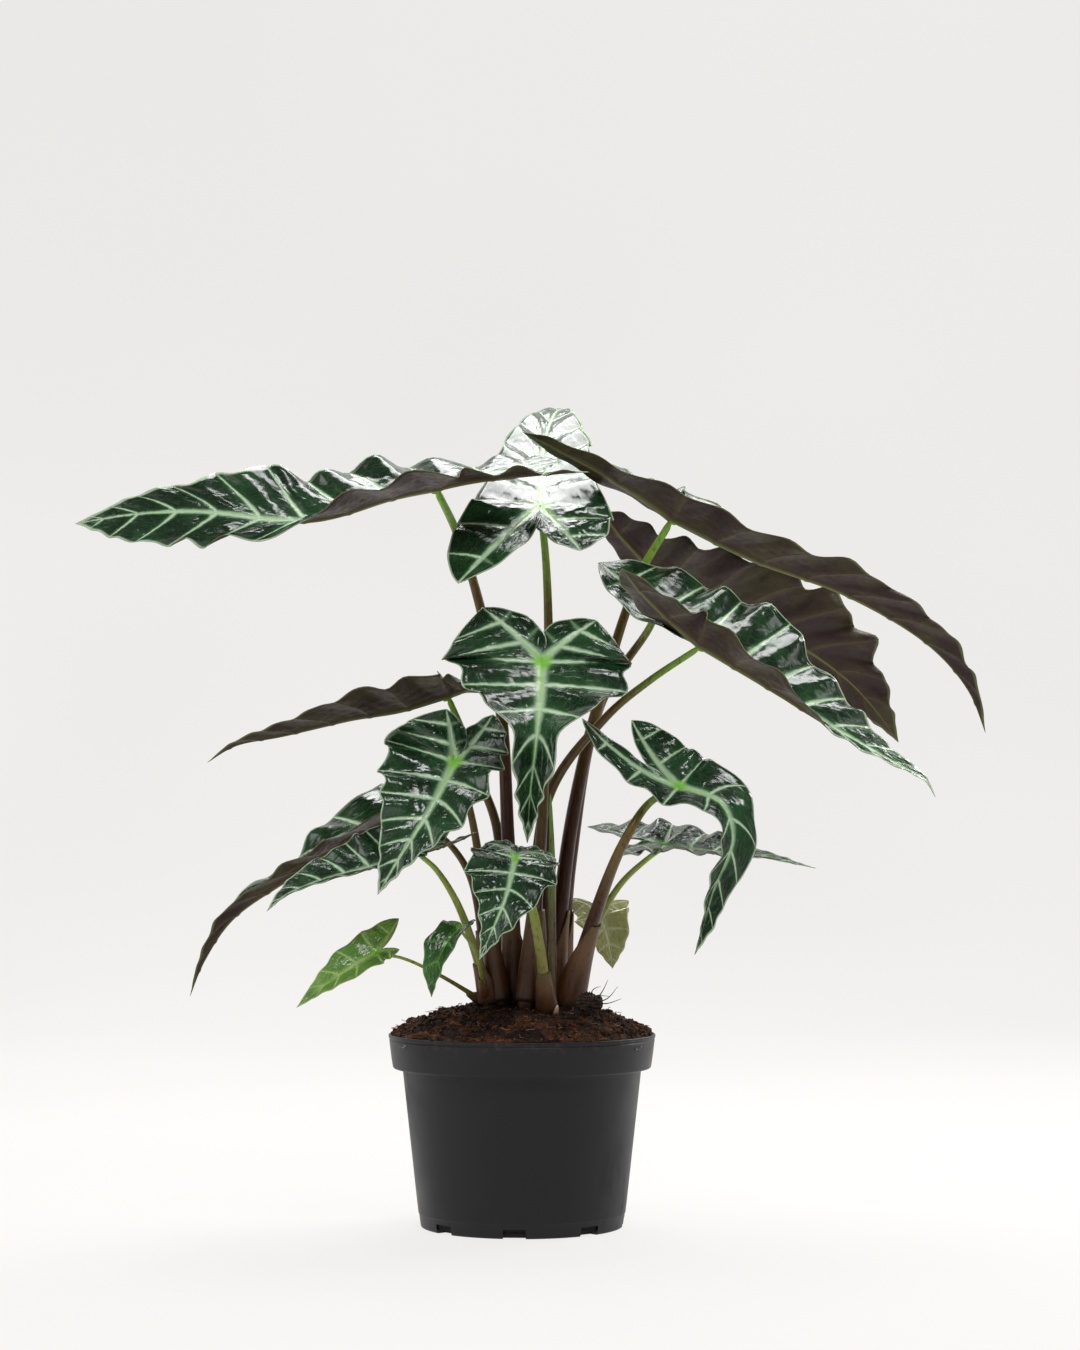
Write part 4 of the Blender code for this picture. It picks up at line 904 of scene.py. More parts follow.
def blade_top(name, s, dark, green, pale, lime, roughness=0.2, vein_share=0.95):
    """The glossy upper side: dark panels, pale soft-edged veins, a lime star at the junction."""
    g = Graph(name, roughness, 0.42)
    m = vein_masks(g, s)
    flow = g.add("ShaderNodeUVMap", {}, uv_map="flow")
    cloud = g.noise(m["own"], 38.0, 3.0)
    stretched = g.add("ShaderNodeMapping", {"Vector": flow, "Scale": (2.2, 5.5, 1.0)})
    cells = g.add("ShaderNodeTexVoronoi", {"Vector": stretched, "Scale": 2.0},
                  feature="DISTANCE_TO_EDGE")
    net = g.step(cells, 0.09, 0.0)
    color = g.mix(g.step(cloud, 0.40, 0.72, 0.0, 0.6), dark, green)
    color = g.mix(g.math("MULTIPLY", m["halo"], 0.85), color, green)
    color = g.mix(g.math("MULTIPLY", net, 0.03), color, pale)
    color = g.mix(g.math("MULTIPLY", m["veins"], vein_share), color, pale)
    glow = g.math("MULTIPLY", m["line"], g.step(m["way"], 0.4, 0.0, 0.15, 0.6))
    color = g.mix(glow, color, lime)
    color = g.mix(g.math("MULTIPLY", m["star"], 0.9), color, lime)
    color = g.mix(g.math("MULTIPLY", m["edge"], 0.75), color, pale)
    g.set("Base Color", color)
    rough = g.step(g.noise(m["own"], 120.0, 2.0), 0.3, 0.7, roughness - 0.06, roughness + 0.06)
    g.set("Roughness", g.math("ADD", rough, g.math("MULTIPLY", m["veins"], 0.12)))
    wrinkle = g.noise(g.add("ShaderNodeMapping", {"Vector": flow, "Scale": (1.6, 2.6, 1.0)}),
                      1.7, 1.5, 0.4, 0.6)
    first = g.bump(wrinkle, 0.0036, 0.46)
    g.bump(g.math("SUBTRACT", 1.0, m["veins"]), 0.0008, 0.4, first)
    g.coat(0.22, 0.06)
    return g.material


def blade_under(name, s, base, vein, olive, share=1.0):
    """The satin underside, with raised veins."""
    g = Graph(name, 0.5, 0.3)
    m = vein_masks(g, s)
    cloud = g.noise(m["own"], 30.0, 4.0)
    color = g.mix(g.step(cloud, 0.42, 0.74, 0.0, 0.6), base, olive)
    color = g.mix(g.step(cloud, 0.52, 0.36, 0.0, 0.5), color, linear(UNDERSIDE_CLOUD))
    color = g.mix(g.math("MULTIPLY", m["halo"], 0.30 * share), color, vein)
    color = g.mix(g.math("MULTIPLY", m["veins"], 0.5 * share), color, vein)
    color = g.mix(g.math("MULTIPLY", m["line"], 0.45), color, linear(UNDERSIDE_RIB))
    color = g.mix(g.math("MULTIPLY", m["edge"], 0.5), color, linear(UNDERSIDE_EDGE))
    g.set("Base Color", color)
    g.set("Roughness", g.step(g.noise(m["own"], 200.0, 3.0), 0.3, 0.7, 0.42, 0.60))
    first = g.bump(g.noise(m["own"], 150.0, 4.0, 0.6), 0.0016, 0.7)
    g.bump(m["veins"], 0.0008, 0.8, first)
    g.coat(0.05, 0.3)
    return g.material


def stalk_skin(name, s, foot, low, middle, high, roughness):
    """Smooth stalk with lengthwise streaks and mottling, changing colour on its way up."""
    g = Graph(name, roughness, 0.32)
    way = g.attribute("way")
    streaks = g.noise(g.place((1.0, 1.0, 0.05)), 700.0, 4.0, 0.6)
    spots = g.noise(g.place((1.0, 1.0, 0.35)), 420.0, 3.0, 0.6)
    shifted = g.math("ADD", way, g.math("MULTIPLY", g.math("SUBTRACT", spots, 0.5), 0.16))
    color = g.mix(g.step(shifted, 0.0, 0.16), foot, low)
    color = g.mix(g.step(shifted, 0.30, 0.74), color, middle)
    color = g.mix(g.step(shifted, 0.74, 0.98), color, high)
    color = g.mix(g.step(streaks, 0.5, 0.75, 0.0, 0.45), color, middle)
    color = g.mix(g.step(spots, 0.46, 0.30, 0.0, 0.55), color, linear(STALK_SPOT))
    g.set("Base Color", color)
    g.set("Roughness", g.step(spots, 0.3, 0.7, roughness - 0.06, roughness + 0.1))
    first = g.bump(streaks, 0.0005, 0.5)
    g.bump(g.noise(g.place(), 900.0, 3.0), 0.0002, 0.4, first)
    g.coat(0.15, 0.25)
    return g.material


def pale_paper(name, color, glow):
    """Plain pale studio paper, lit evenly enough to keep its tone from floor to wall, with faint painted
    shadows in soft blotches.
    """
    g = Graph(name, 0.9, 0.1)
    # Painted shadow: soft blotches where the paper's glow is dimmed a little
    soft = g.step(g.noise(g.place(), 0.55, 2.0), 0.35, 0.7)
    g.set("Base Color", linear(PAPER))
    shade = g.mix(0.055, color, (0.0, 0.0, 0.0, 1.0))
    g.set("Emission Color", g.mix(soft, color, shade))
    g.shader.inputs["Emission Strength"].default_value = glow
    return g.material


# ---------------------------------------------------------------- objects

def add_mesh(name, points, faces, materials, smooth=True):
    mesh = bpy.data.meshes.new(name)
    mesh.from_pydata([tuple(p) for p in points], [], [list(map(int, f)) for f in faces])
    mesh.polygons.foreach_set("use_smooth", [smooth] * len(mesh.polygons))
    for material in materials:
        mesh.materials.append(material)
    mesh.update()
    obj = bpy.data.objects.new(name, mesh)
    bpy.context.scene.collection.objects.link(obj)
    return obj


def give_values(mesh, name, kind, values):
    """A value for each point, as a named attribute."""
    layer = mesh.attributes.new(name, kind, "POINT")
    field = "vector" if kind == "FLOAT_VECTOR" else "value"
    layer.data.foreach_set(field, np.asarray(values, np.float32).ravel())


def settle(piece, slot, *nodes):
    """The piece rides on the plant's one body and stands for its frame nodes; its finish slot is not
    used.
    """
    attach(piece, ROOT_BODY)
    if nodes:
        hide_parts(*nodes)


def revolve(profile, sides, centre=(0.0, 0.0)):
    """A closed solid from a profile of (radius, height) that starts and ends on the axis."""
    angles = 2 * np.pi * np.arange(sides) / sides
    points, faces = [], []
    for r, z in profile[1:-1]:
        points += [(centre[0] + r * math.cos(a), centre[1] + r * math.sin(a), z) for a in angles]
    for k in range(len(profile) - 3):
        for j in range(sides):
            n = (j + 1) % sides
            faces.append([k * sides + j, k * sides + n, (k + 1) * sides + n, (k + 1) * sides + j])
    last = (len(profile) - 3) * sides
    points += [(*centre, profile[0][1]), (*centre, profile[-1][1])]
    for j in range(sides):
        n = (j + 1) % sides
        faces.append([n, j, len(points) - 2])
        faces.append([last + j, last + n, len(points) - 1])
    return np.array(points), faces


def tube_faces(rows, sides):
    """Faces of a tube of rings, closed with a cap at each end."""
    faces = [[k * sides + j, k * sides + (j + 1) % sides, (k + 1) * sides + (j + 1) % sides,
              (k + 1) * sides + j] for k in range(rows - 1) for j in range(sides)]
    return faces + [list(range(sides))[::-1], [(rows - 1) * sides + j for j in range(sides)]]


def evaluated_mesh(obj):
    """What the object's modifiers make, as a plain mesh with them removed."""
    bpy.context.view_layer.update()
    graph = bpy.context.evaluated_depsgraph_get()
    mesh = bpy.data.meshes.new_from_object(obj.evaluated_get(graph))
    obj.modifiers.clear()
    return mesh


# ---------------------------------------------------------------- pot

def corner(centre, radius, start, end, steps=8):
    """Points round a quarter corner, from one angle in degrees to another."""
    return [(centre[0] + radius * math.cos(math.radians(a)),
             centre[1] + radius * math.sin(math.radians(a)))
            for a in np.linspace(start, end, steps)]


def body_radius(height):
    """The outside radius of the body at a height between base and collar."""
    under = POT_HEIGHT - COLLAR_HEIGHT
    top = RIM_RADIUS - COLLAR_TAPER - COLLAR_STEP
    return top - BODY_TAPER * (1 - height / under)


def pot_profile():
    under = POT_HEIGHT - COLLAR_HEIGHT
    foot = body_radius(0) - FOOT_STEP
    collar = RIM_RADIUS - COLLAR_TAPER
    lip = RIM_LIP
    outside = [(0.0, 0.0), (foot - 3 * EDGE_ROUND, 0.0)]
    outside += corner((foot - EDGE_ROUND, EDGE_ROUND), EDGE_ROUND, -90, 0)
    outside += [(body_radius(FOOT_HEIGHT) - FOOT_STEP, FOOT_HEIGHT - 0.0004),
                (body_radius(FOOT_HEIGHT) - 0.6 * FOOT_STEP, FOOT_HEIGHT),
                (body_radius(FOOT_HEIGHT) - 0.1 * FOOT_STEP, FOOT_HEIGHT + FOOT_STEP * 0.6),
                (body_radius(FOOT_HEIGHT), FOOT_HEIGHT + FOOT_STEP * 1.6)]
    outside += [(body_radius(h), h) for h in np.linspace(0.02, under - 0.003, 8)]
    outside += [(body_radius(under), under - EDGE_ROUND * 0.5),
                (body_radius(under) + 0.0004, under - 0.0001),
                (body_radius(under) + 0.0016, under)]
    outside += corner((collar - EDGE_ROUND, under + EDGE_ROUND), EDGE_ROUND, -90, 0)
    outside += [(collar + COLLAR_TAPER * s, under + COLLAR_HEIGHT * s) for s in (0.3, 0.6, 0.84)]
    outside += [(RIM_RADIUS - inward * lip, POT_HEIGHT - down * lip)
                for inward, down in ((1, 3.6), (0.8, 3), (0.2, 2.6), (0, 2))]
    outside += corner((RIM_RADIUS - 0.7 * lip, POT_HEIGHT - 0.7 * lip), 0.7 * lip, 0, 90, 5)
    inside = [(RIM_RADIUS - WALL + 0.0002, POT_HEIGHT), (RIM_RADIUS - WALL, POT_HEIGHT - 0.0003),
              (RIM_RADIUS - COLLAR_TAPER - WALL, under + 2 * WALL + 0.0016),
              (body_radius(under) - WALL, under + WALL), (body_radius(FLOOR) - WALL, FLOOR),
              (0.0, FLOOR)]
    return outside + inside


def box_faces():
    return [[0, 3, 2, 1], [4, 5, 6, 7], [0, 1, 5, 4], [1, 2, 6, 5], [2, 3, 7, 6], [3, 0, 4, 7]]


def block(name, angle, inner, outer, half_low, half_high, low, high, material):
    """A block set square to the pot's side; it may be narrower at its top."""
    way = np.array([math.cos(angle), math.sin(angle), 0.0])
    side = np.array([-math.sin(angle), math.cos(angle), 0.0])
    up = np.array([0.0, 0.0, 1.0])
    points = [way * r + side * s * half + up * h for r in (inner, outer)
              for s, half, h in ((-1, half_low, low), (1, half_low, low),
                                 (1, half_high, high), (-1, half_high, high))]
    return add_mesh(name, points, box_faces(), [material])


def cut_notches(pot, material):
    tools = []
    for k in range(NOTCH_COUNT):
        angle = NOTCH_FIRST + 2 * math.pi * k / NOTCH_COUNT
        tool = block("notch", angle, body_radius(0) - NOTCH_DEPTH, body_radius(0) + 0.01,
                     NOTCH_WIDTH / 2, NOTCH_WIDTH / 2 - 0.0008, -0.01, NOTCH_HEIGHT, material)
        modifier = pot.modifiers.new("cut", "BOOLEAN")
        modifier.operation = "DIFFERENCE"
        modifier.solver = "MANIFOLD"
        modifier.object = tool
        tools.append(tool)
    pot.data = evaluated_mesh(pot)
    for tool in tools:
        bpy.data.objects.remove(tool)


def moulded_marks(material, proud):
    """Short raised ticks on the collar, a little shorter at their faces than at their roots."""
    points, faces = [], []
    middle = POT_HEIGHT - TICK_DROP
    for angle, half, rise in TICKS:
        a = math.radians(angle)
        low, high = middle + rise - TICK_HALF_HEIGHT, middle + rise + TICK_HALF_HEIGHT
        radius = RIM_RADIUS - COLLAR_TAPER * 0.26
        way = np.array([math.cos(a), math.sin(a), 0.0])
        side = np.array([-math.sin(a), math.cos(a), 0.0])
        base = len(points)
        for r, shrink in ((radius - TICK_ROOT, 1.0), (radius + proud, TICK_TAPER)):
            for s, h in ((-1, low), (1, low), (1, high), (-1, high)):
                points.append(way * r + side * s * half * shrink + np.array([0.0, 0.0, h]))
        faces += [[v + base for v in f] for f in box_faces()]
    return add_mesh("pot_moulded_ticks", points, faces, [material], smooth=False)


class ALOCASIA_OT_pot(bpy.types.Operator):
    """Build the nursery pot with its drain notches and moulded ticks"""
    bl_idname = "alocasia.pot"
    bl_label = "Pot"

    def execute(self, context):
        s = context.scene.alocasia_pot
        plastic = pot_plastic(s)
        pot = add_mesh("nursery_pot", *revolve(pot_profile(), s.sides), [plastic])
        cut_notches(pot, plastic)
        pot.data.name = "nursery_pot"
        pot.data.set_sharp_from_angle(angle=math.radians(34))
        settle(pot, "pot_plastic", "pot")
        ticks = moulded_marks(scuffed_plastic(s), s.mark_height)
        settle(ticks, "pot_plastic")
        return {"FINISHED"}


# ---------------------------------------------------------------- soil

def soil_height(x, y):
    """The firm mound's surface."""
    out = math.hypot(x, y) / (RIM_RADIUS - WALL)
    edge = POT_HEIGHT - SOIL_EDGE_DROP
    lumps = SOIL_LUMP * (math.sin(70 * x + 1.3) * math.cos(95 * y) + math.sin(160 * x * out + 80 * y))
    return edge + SOIL_MOUND * max(0.0, 1 - out**2.4) + lumps * min(1.0, 6 * max(0.0, 1 - out))


def loose_height(x, y, s):
    """Loose peat over the mound: lumps of several sizes, calmer at the rim."""
    place = Vector((x, y, 0.0))
    rough = noise.fractal(place * 95, 0.9, 2.1, 4, noise_basis="PERLIN_ORIGINAL")
    clods = noise.noise(place * 48 + Vector((3.1, 7.7, 0.0)))
    out = math.hypot(x, y) / (RIM_RADIUS - WALL)
    calm = min(1.0, 6 * max(0.0, 1.02 - out) + 0.35)
    lift = s.cover + s.lumps * (0.42 * rough + 0.5 * clods) * calm
    return soil_height(x, y) + max(lift, -0.0004)


def crust(s, material):
    """The loose top layer, a closed sheet with its own underside, from the axis to the wall."""
    rings, sides = CRUST_RINGS, CRUST_SIDES
    edge = RIM_RADIUS - WALL - CRUST_GAP
    angles = 2 * np.pi * np.arange(sides) / sides
    points, faces = [], []
    for level in (0, 1):
        for k in range(1, rings + 1):
            r = edge * (k / rings)
            for a in angles:
                x, y = r * math.cos(a), r * math.sin(a)
                high = loose_height(x, y, s) if level == 0 else soil_height(x, y) - CRUST_DEPTH
                points.append((x, y, high))
    under = rings * sides
    points += [(0, 0, loose_height(0, 0, s)), (0, 0, soil_height(0, 0) - CRUST_DEPTH)]
    for j in range(sides):
        n = (j + 1) % sides
        faces.append([j, n, 2 * under])
        faces.append([under + n, under + j, 2 * under + 1])
        last = (rings - 1) * sides
        faces.append([last + j, under + last + j, under + last + n, last + n])
        for k in range(rings - 1):
            a, b = k * sides, (k + 1) * sides
            faces.append([a + j, b + j, b + n, a + n])
            faces.append([under + a + j, under + a + n, under + b + n, under + b + j])
    return add_mesh("peat_crust", points, faces, [material], smooth=False)


class Nodes:
    """A Geometry Nodes tree with named inputs, built in short calls."""

    def __init__(self, name, inputs):
        self.tree = bpy.data.node_groups.new(name, "GeometryNodeTree")
        face = self.tree.interface
        face.new_socket("Geometry", in_out="INPUT", socket_type="NodeSocketGeometry")
        self.ids = {}
        for label, kind in inputs:
            self.ids[label] = face.new_socket(label, in_out="INPUT",
                                              socket_type="NodeSocket" + kind).identifier
        face.new_socket("Geometry", in_out="OUTPUT", socket_type="NodeSocketGeometry")
        self.source = self.tree.nodes.new("NodeGroupInput")

    def __getitem__(self, label):
        return self.source.outputs[label]

    def add(self, kind, inputs, output=0, **settings):
        node = self.tree.nodes.new(kind)
        for key, value in settings.items():
            setattr(node, key, value)
        for key, value in inputs.items():
            if isinstance(value, bpy.types.NodeSocket):
                self.tree.links.new(value, node.inputs[key])
            else:
                node.inputs[key].default_value = value
        return node.outputs[output]

    def math(self, operation, a, b=0.0):
        return self.add("ShaderNodeMath", {0: a, 1: b}, operation=operation)

    def random(self, low, high, seed):
        """A random number for each element."""
        return self.add("FunctionNodeRandomValue", {2: low, 3: high, 8: seed}, output=1,
                        data_type="FLOAT")

    def random_vector(self, low, high, seed):
        return self.add("FunctionNodeRandomValue", {0: low, 1: high, 8: seed}, output=0,
                        data_type="FLOAT_VECTOR")

    def scatter(self):
        """Points over the source's upward faces, from the tree's count and seed."""
        normal = self.add("GeometryNodeInputNormal", {})
        up = self.add("ShaderNodeSeparateXYZ", {0: normal}, output=2)
        top = self.add("FunctionNodeCompare", {0: up, 1: UPWARD}, data_type="FLOAT",
                       operation="GREATER_THAN")
        density = self.math("DIVIDE", self["Count"], SCATTER_AREA)
        return self.add("GeometryNodeDistributePointsOnFaces",
                        {"Mesh": self["Geometry"], "Selection": top, "Density": density,
                         "Seed": self["Seed"]})

    def bend(self, geometry, scale, centre, reach):
        """Moves each point by a noise read at its place."""
        place = self.add("GeometryNodeInputPosition", {})
        shift = self.add("ShaderNodeTexNoise", {"Vector": place, "Scale": scale, "Detail": 2.0},
                         output=1)
        shift = self.add("ShaderNodeVectorMath", {0: shift, 1: centre}, operation="SUBTRACT")
        shift = self.add("ShaderNodeVectorMath", {0: shift, 3: reach}, operation="SCALE")
        return self.add("GeometryNodeSetPosition", {"Geometry": geometry, "Offset": shift})

    def finish(self, geometry):
        """Ends the tree in real geometry with its material."""
        real = self.add("GeometryNodeRealizeInstances", {0: geometry})
        done = self.add("GeometryNodeSetMaterial", {0: real, "Material": self["Material"]})
        end = self.tree.nodes.new("NodeGroupOutput")
        self.tree.links.new(done, end.inputs[0])

    def make(self, name, source, **values):
        """Runs the tree on a source object and returns a plain mesh object of its result."""
        modifier = source.modifiers.new(name, "NODES")
        modifier.node_group = self.tree
        for label, value in values.items():
            modifier[self.ids[label]] = value
        source.update_tag()
        mesh = evaluated_mesh(source)
        if not mesh.polygons:
            raise RuntimeError(name + " came out empty")
        mesh.name = name
        obj = bpy.data.objects.new(name, mesh)
        bpy.context.scene.collection.objects.link(obj)
        return obj


def crumb_tree():
    """Scatters small broken lumps over the source's upward faces."""
    g = Nodes("crumbs", (("Count", "Int"), ("Size", "Float"), ("Seed", "Int"),
                         ("Material", "Material")))
    spots = g.scatter()
    lump = g.add("GeometryNodeMeshIcoSphere", {"Radius": 0.5, "Subdivisions": 1})
    turn = g.random_vector((0, 0, 0), (FULL_TURN, FULL_TURN, FULL_TURN), 11)
    spread = g.math("POWER", g.random(0.0, 1.0, 12), 2.6)
    size = g.math("MULTIPLY", g["Size"], g.math("ADD", g.math("MULTIPLY", spread, 0.86), 0.14))
    flat = g.random_vector((0.7, 0.55, 0.4), (1.25, 1.0, 0.8), 13)
    scale = g.add("ShaderNodeVectorMath", {0: flat, 3: size}, operation="SCALE")
    lumps = g.add("GeometryNodeInstanceOnPoints", {"Points": spots, "Instance": lump,
                                                   "Rotation": turn, "Scale": scale})
    lumps = g.add("GeometryNodeRealizeInstances", {0: lumps})
    g.finish(g.bend(lumps, 620.0, (0.5, 0.5, 0.5), g.math("MULTIPLY", g["Size"], 0.2)))
    return g


def fibre_tree():
    """Scatters short bent root fibres over the source's upward faces."""
    g = Nodes("fibres", (("Count", "Int"), ("Length", "Float"), ("Radius", "Float"),
                         ("Seed", "Int"), ("Material", "Material")))
    spots = g.scatter()
    line = g.add("GeometryNodeCurvePrimitiveLine", {"Start": (-0.5, 0, 0), "End": (0.5, 0, 0)})
    line = g.add("GeometryNodeResampleCurve", {"Curve": line, "Count": 9})
    turn = g.random_vector((-0.35, -0.35, 0), (0.35, 0.35, FULL_TURN), 21)
    share = g.random(0.25, 1.0, 22)
    size = g.math("MULTIPLY", g["Length"], share)
    lines = g.add("GeometryNodeInstanceOnPoints", {"Points": spots, "Instance": line,
                                                   "Rotation": turn, "Scale": size})
    lines = g.add("GeometryNodeRealizeInstances", {0: lines})
    lines = g.bend(lines, 110.0, (0.5, 0.5, 0.42), g.math("MULTIPLY", g["Length"], 0.85))
    ring = g.add("GeometryNodeCurvePrimitiveCircle", {"Resolution": 5, "Radius": g["Radius"]})
    g.finish(g.add("GeometryNodeCurveToMesh", {"Curve": lines, "Profile Curve": ring,
                                               "Fill Caps": True}))
    return g


class ALOCASIA_OT_soil(bpy.types.Operator):
    """Finish the peat: loose crust, crumbs and fibres over the firm mound"""
    bl_idname = "alocasia.soil"
    bl_label = "Soil"

    def execute(self, context):
        s = context.scene.alocasia_soil
        damp = peat(s)
        straw = fibre_straw(s)
        # Painted shade: the firm mound lies under the loose peat and shows through only in gaps, so it
        # is coloured near-black
        painted_shade = bark("wet_peat", "080403", "120906")
        frame["nodes"]["soil"].data.materials.clear()
        frame["nodes"]["soil"].data.materials.append(painted_shade)
        top = crust(s, damp)
        crumbs = crumb_tree().make("peat_crumbs", top, Count=s.crumbs, Size=s.crumb_size, Seed=3,
                                   Material=damp)
        fibres = fibre_tree().make("peat_fibres", top, Count=s.fibres, Length=s.fibre_length,
                                   Radius=FIBRE_RADIUS, Seed=8, Material=straw)
        for piece in (top, crumbs, fibres):
            settle(piece, "peat")
        return {"FINISHED"}


class ALOCASIA_OT_roots(bpy.types.Operator):
    """Give the root ball and the corm inside the soil their skins"""
    bl_idname = "alocasia.roots"
    bl_label = "Roots and corm"

    def execute(self, context):
        for node, skin in (("root_ball", root_skin()), ("corm", bark("corm_skin", "2b1a12", "6a4a32"))):
            mesh = frame["nodes"][node].data
            mesh.materials.clear()
            mesh.materials.append(skin)
        return {"FINISHED"}


# ---------------------------------------------------------------- blades

def shell_of(blade, settings):
    """A closed shell about the blade: thick along the veins below, thin at its margin."""
    points, values, faces = sheet_of(blade.patches())
    normals = sheet_normals(points, faces)
    rib, margin, gap = values[:, 2], values[:, 3], values[:, 4]
    way, across = values[:, 6], np.abs(values[:, 1])
    scale = blade.scale
    thick = settings.thickness * (0.45 + 0.55 * smooth_step(margin, 0.0, 5.0))
    ridge = settings.ridge * scale * np.exp(-(rib / RIDGE_SPREAD) ** 2)
    ridge *= 1 - smooth_step(way, 0.45, 1.0)
    ridge += (SIDE_RIDGE * settings.ridge * scale * np.exp(-(gap / SIDE_RIDGE_SPREAD) ** 2)
              * (1 - across) ** 0.5)
    groove = GROOVE_DEPTH * scale * np.exp(-(rib / GROOVE_SPREAD) ** 2)
    groove *= 1 - smooth_step(way, 0.5, 1.0)
    top = points + normals * (thick / 2 - groove)[:, None]
    low = points - normals * (thick / 2 + ridge * smooth_step(margin, 0.0, 3.0))[:, None]
    count = len(points)
    upper = [list(ring) for ring in faces]
    under = [[v + count for v in reversed(ring)] for ring in faces]
    rim = [[end, first, first + count, end + count] for first, end in open_edges(faces)]
    return np.vstack([top, low]), upper, under, rim, np.vstack([values, values])


def blade_object(name, leaf, settings, above, below):
    blade = Blade(leaf, settings)
    points, upper, under, rim, values = shell_of(blade, settings)
    obj = add_mesh(name, points, upper + under + rim, [above, below])
    mesh = obj.data
    index = [0] * len(upper) + [1] * (len(under) + len(rim))
    mesh.polygons.foreach_set("material_index", index)
    give_values(mesh, "span", "FLOAT_VECTOR", values[:, 2:5])
    give_values(mesh, "start", "FLOAT", values[:, 5])
    give_values(mesh, "way", "FLOAT", values[:, 6])
    give_values(mesh, "inside", "FLOAT", values[:, 7])
    layer = mesh.uv_layers.new(name="flow")
    corners = np.empty(len(mesh.loops), np.int32)
    mesh.loops.foreach_get("vertex_index", corners)
    layer.data.foreach_set("uv", values[corners, :2].astype(np.float32).ravel())
    return obj


class ALOCASIA_OT_blades(bpy.types.Operator):
    """Build the arrow-shaped blades with their quilting, ridges and veins"""
    bl_idname = "alocasia.blades"
    bl_label = "Blades"

    def execute(self, context):
        s = context.scene.alocasia_blades
        above = blade_top("blade_green", s, s.dark, s.green, s.pale, s.lime)
        below = blade_under("blade_underside", s, s.purple, s.mauve, s.olive)
        young = blade_top("young_blade_green", s, linear("55812f"), linear("86ad52"),
                          linear("b9cf86"), s.lime, 0.32, 0.6)
        young_low = blade_under("young_underside", s, linear("6f9447"), linear("a3bd72"),
                                linear("7d9a4c"), 0.7)
        faded = blade_top("pale_blade_green", s, linear("b2b777"), linear("cfd3a0"),
                          linear("e0e4bd"), linear("c6dc7e"), 0.36, 0.5)
        faded_low = blade_under("pale_underside", s, linear("c0c088"), linear("dadaae"),
                                linear("b4b276"), 0.6)
        half_grown = blade_top("half_grown_green", s, linear("1d4218"), linear("3f6f2b"),
                               linear("6f9c50"), s.lime, 0.24, 0.5)
        for leaf in LEAVES:
            pair, slot = (above, below), "blade_green"
            if leaf.name in YOUNG_LEAVES:
                pair, slot = (young, young_low), "young_blade_green"
            if leaf.name == "small_front":
                pair = (half_grown, young_low)
            if leaf.name in PALE_LEAVES:
                pair, slot = (faded, faded_low), "pale_blade_green"
            piece = blade_object("leaf_" + leaf.name, leaf, s, *pair)
            settle(piece, slot, "blade_" + leaf.name)
        return {"FINISHED"}


# ---------------------------------------------------------------- stalks

def stalk_tree():
    """Skins a curve with a round, tapered tube and keeps the way along it for its colours."""
    g = Nodes("stalk", (("Sides", "Int"), ("Material", "Material")))
    share = g.add("GeometryNodeSplineParameter", {})
    line = g.add("GeometryNodeStoreNamedAttribute",
                 {"Geometry": g["Geometry"], "Name": "way", "Value": share},
                 data_type="FLOAT", domain="POINT")
    ring = g.add("GeometryNodeCurvePrimitiveCircle", {"Resolution": g["Sides"], "Radius": 1.0})
    tube = g.add("GeometryNodeCurveToMesh", {"Curve": line, "Profile Curve": ring,
                                             "Scale": g.add("GeometryNodeInputRadius", {}),
                                             "Fill Caps": True})
    smooth = g.add("GeometryNodeSetShadeSmooth", {"Geometry": tube})
    g.finish(smooth)
    return g


def curve_object(name, *lines):
    """A curve of one or more lines, each given as its points and its radii."""
    curve = bpy.data.curves.new(name, "CURVE")
    curve.dimensions = "3D"
    for points, radii in lines:
        spline = curve.splines.new("POLY")
        spline.points.add(len(points) - 1)
        for point, spot, radius in zip(spline.points, points, radii):
            point.co = (*spot, 1.0)
            point.radius = radius
    obj = bpy.data.objects.new(name, curve)
    bpy.context.scene.collection.objects.link(obj)
    return obj


def stalk_profile(stalk_r):
    """Radii in metres, evenly spaced from foot to tip, from a stalk's three in millimetres."""
    foot, middle, tip = (r * MM for r in stalk_r)
    return [foot, (foot + 3 * middle) / 4, middle, (middle + tip) / 2, tip]


def stalk_line(leaf, blade, steps=70):
    """The stalk's centre line from inside the soil to the blade's junction, and its radii."""
    junction = blade.rib.at(0.0)
    lead = junction + blade.rib.direction(0.0) * 0.004
    _, normal, _ = blade.frame(0.0)
    path = Path(np.vstack([place(leaf.stalk), junction - normal * JUNCTION_DROP]))
    shares = np.linspace(0, 1, steps)
    points = path.at(shares)
    profile = stalk_profile(leaf.stalk_r)
    radii, tip = along(profile, shares), profile[-1]
    low = np.array([points[0] - path.direction(0.0) * 0.006])
    points = np.vstack([low, points, lead - normal * JUNCTION_DROP])
    radii = np.concatenate([[radii[0]], radii, [tip * 0.45]])
    radii[-2] = tip * 0.85
    return points, radii


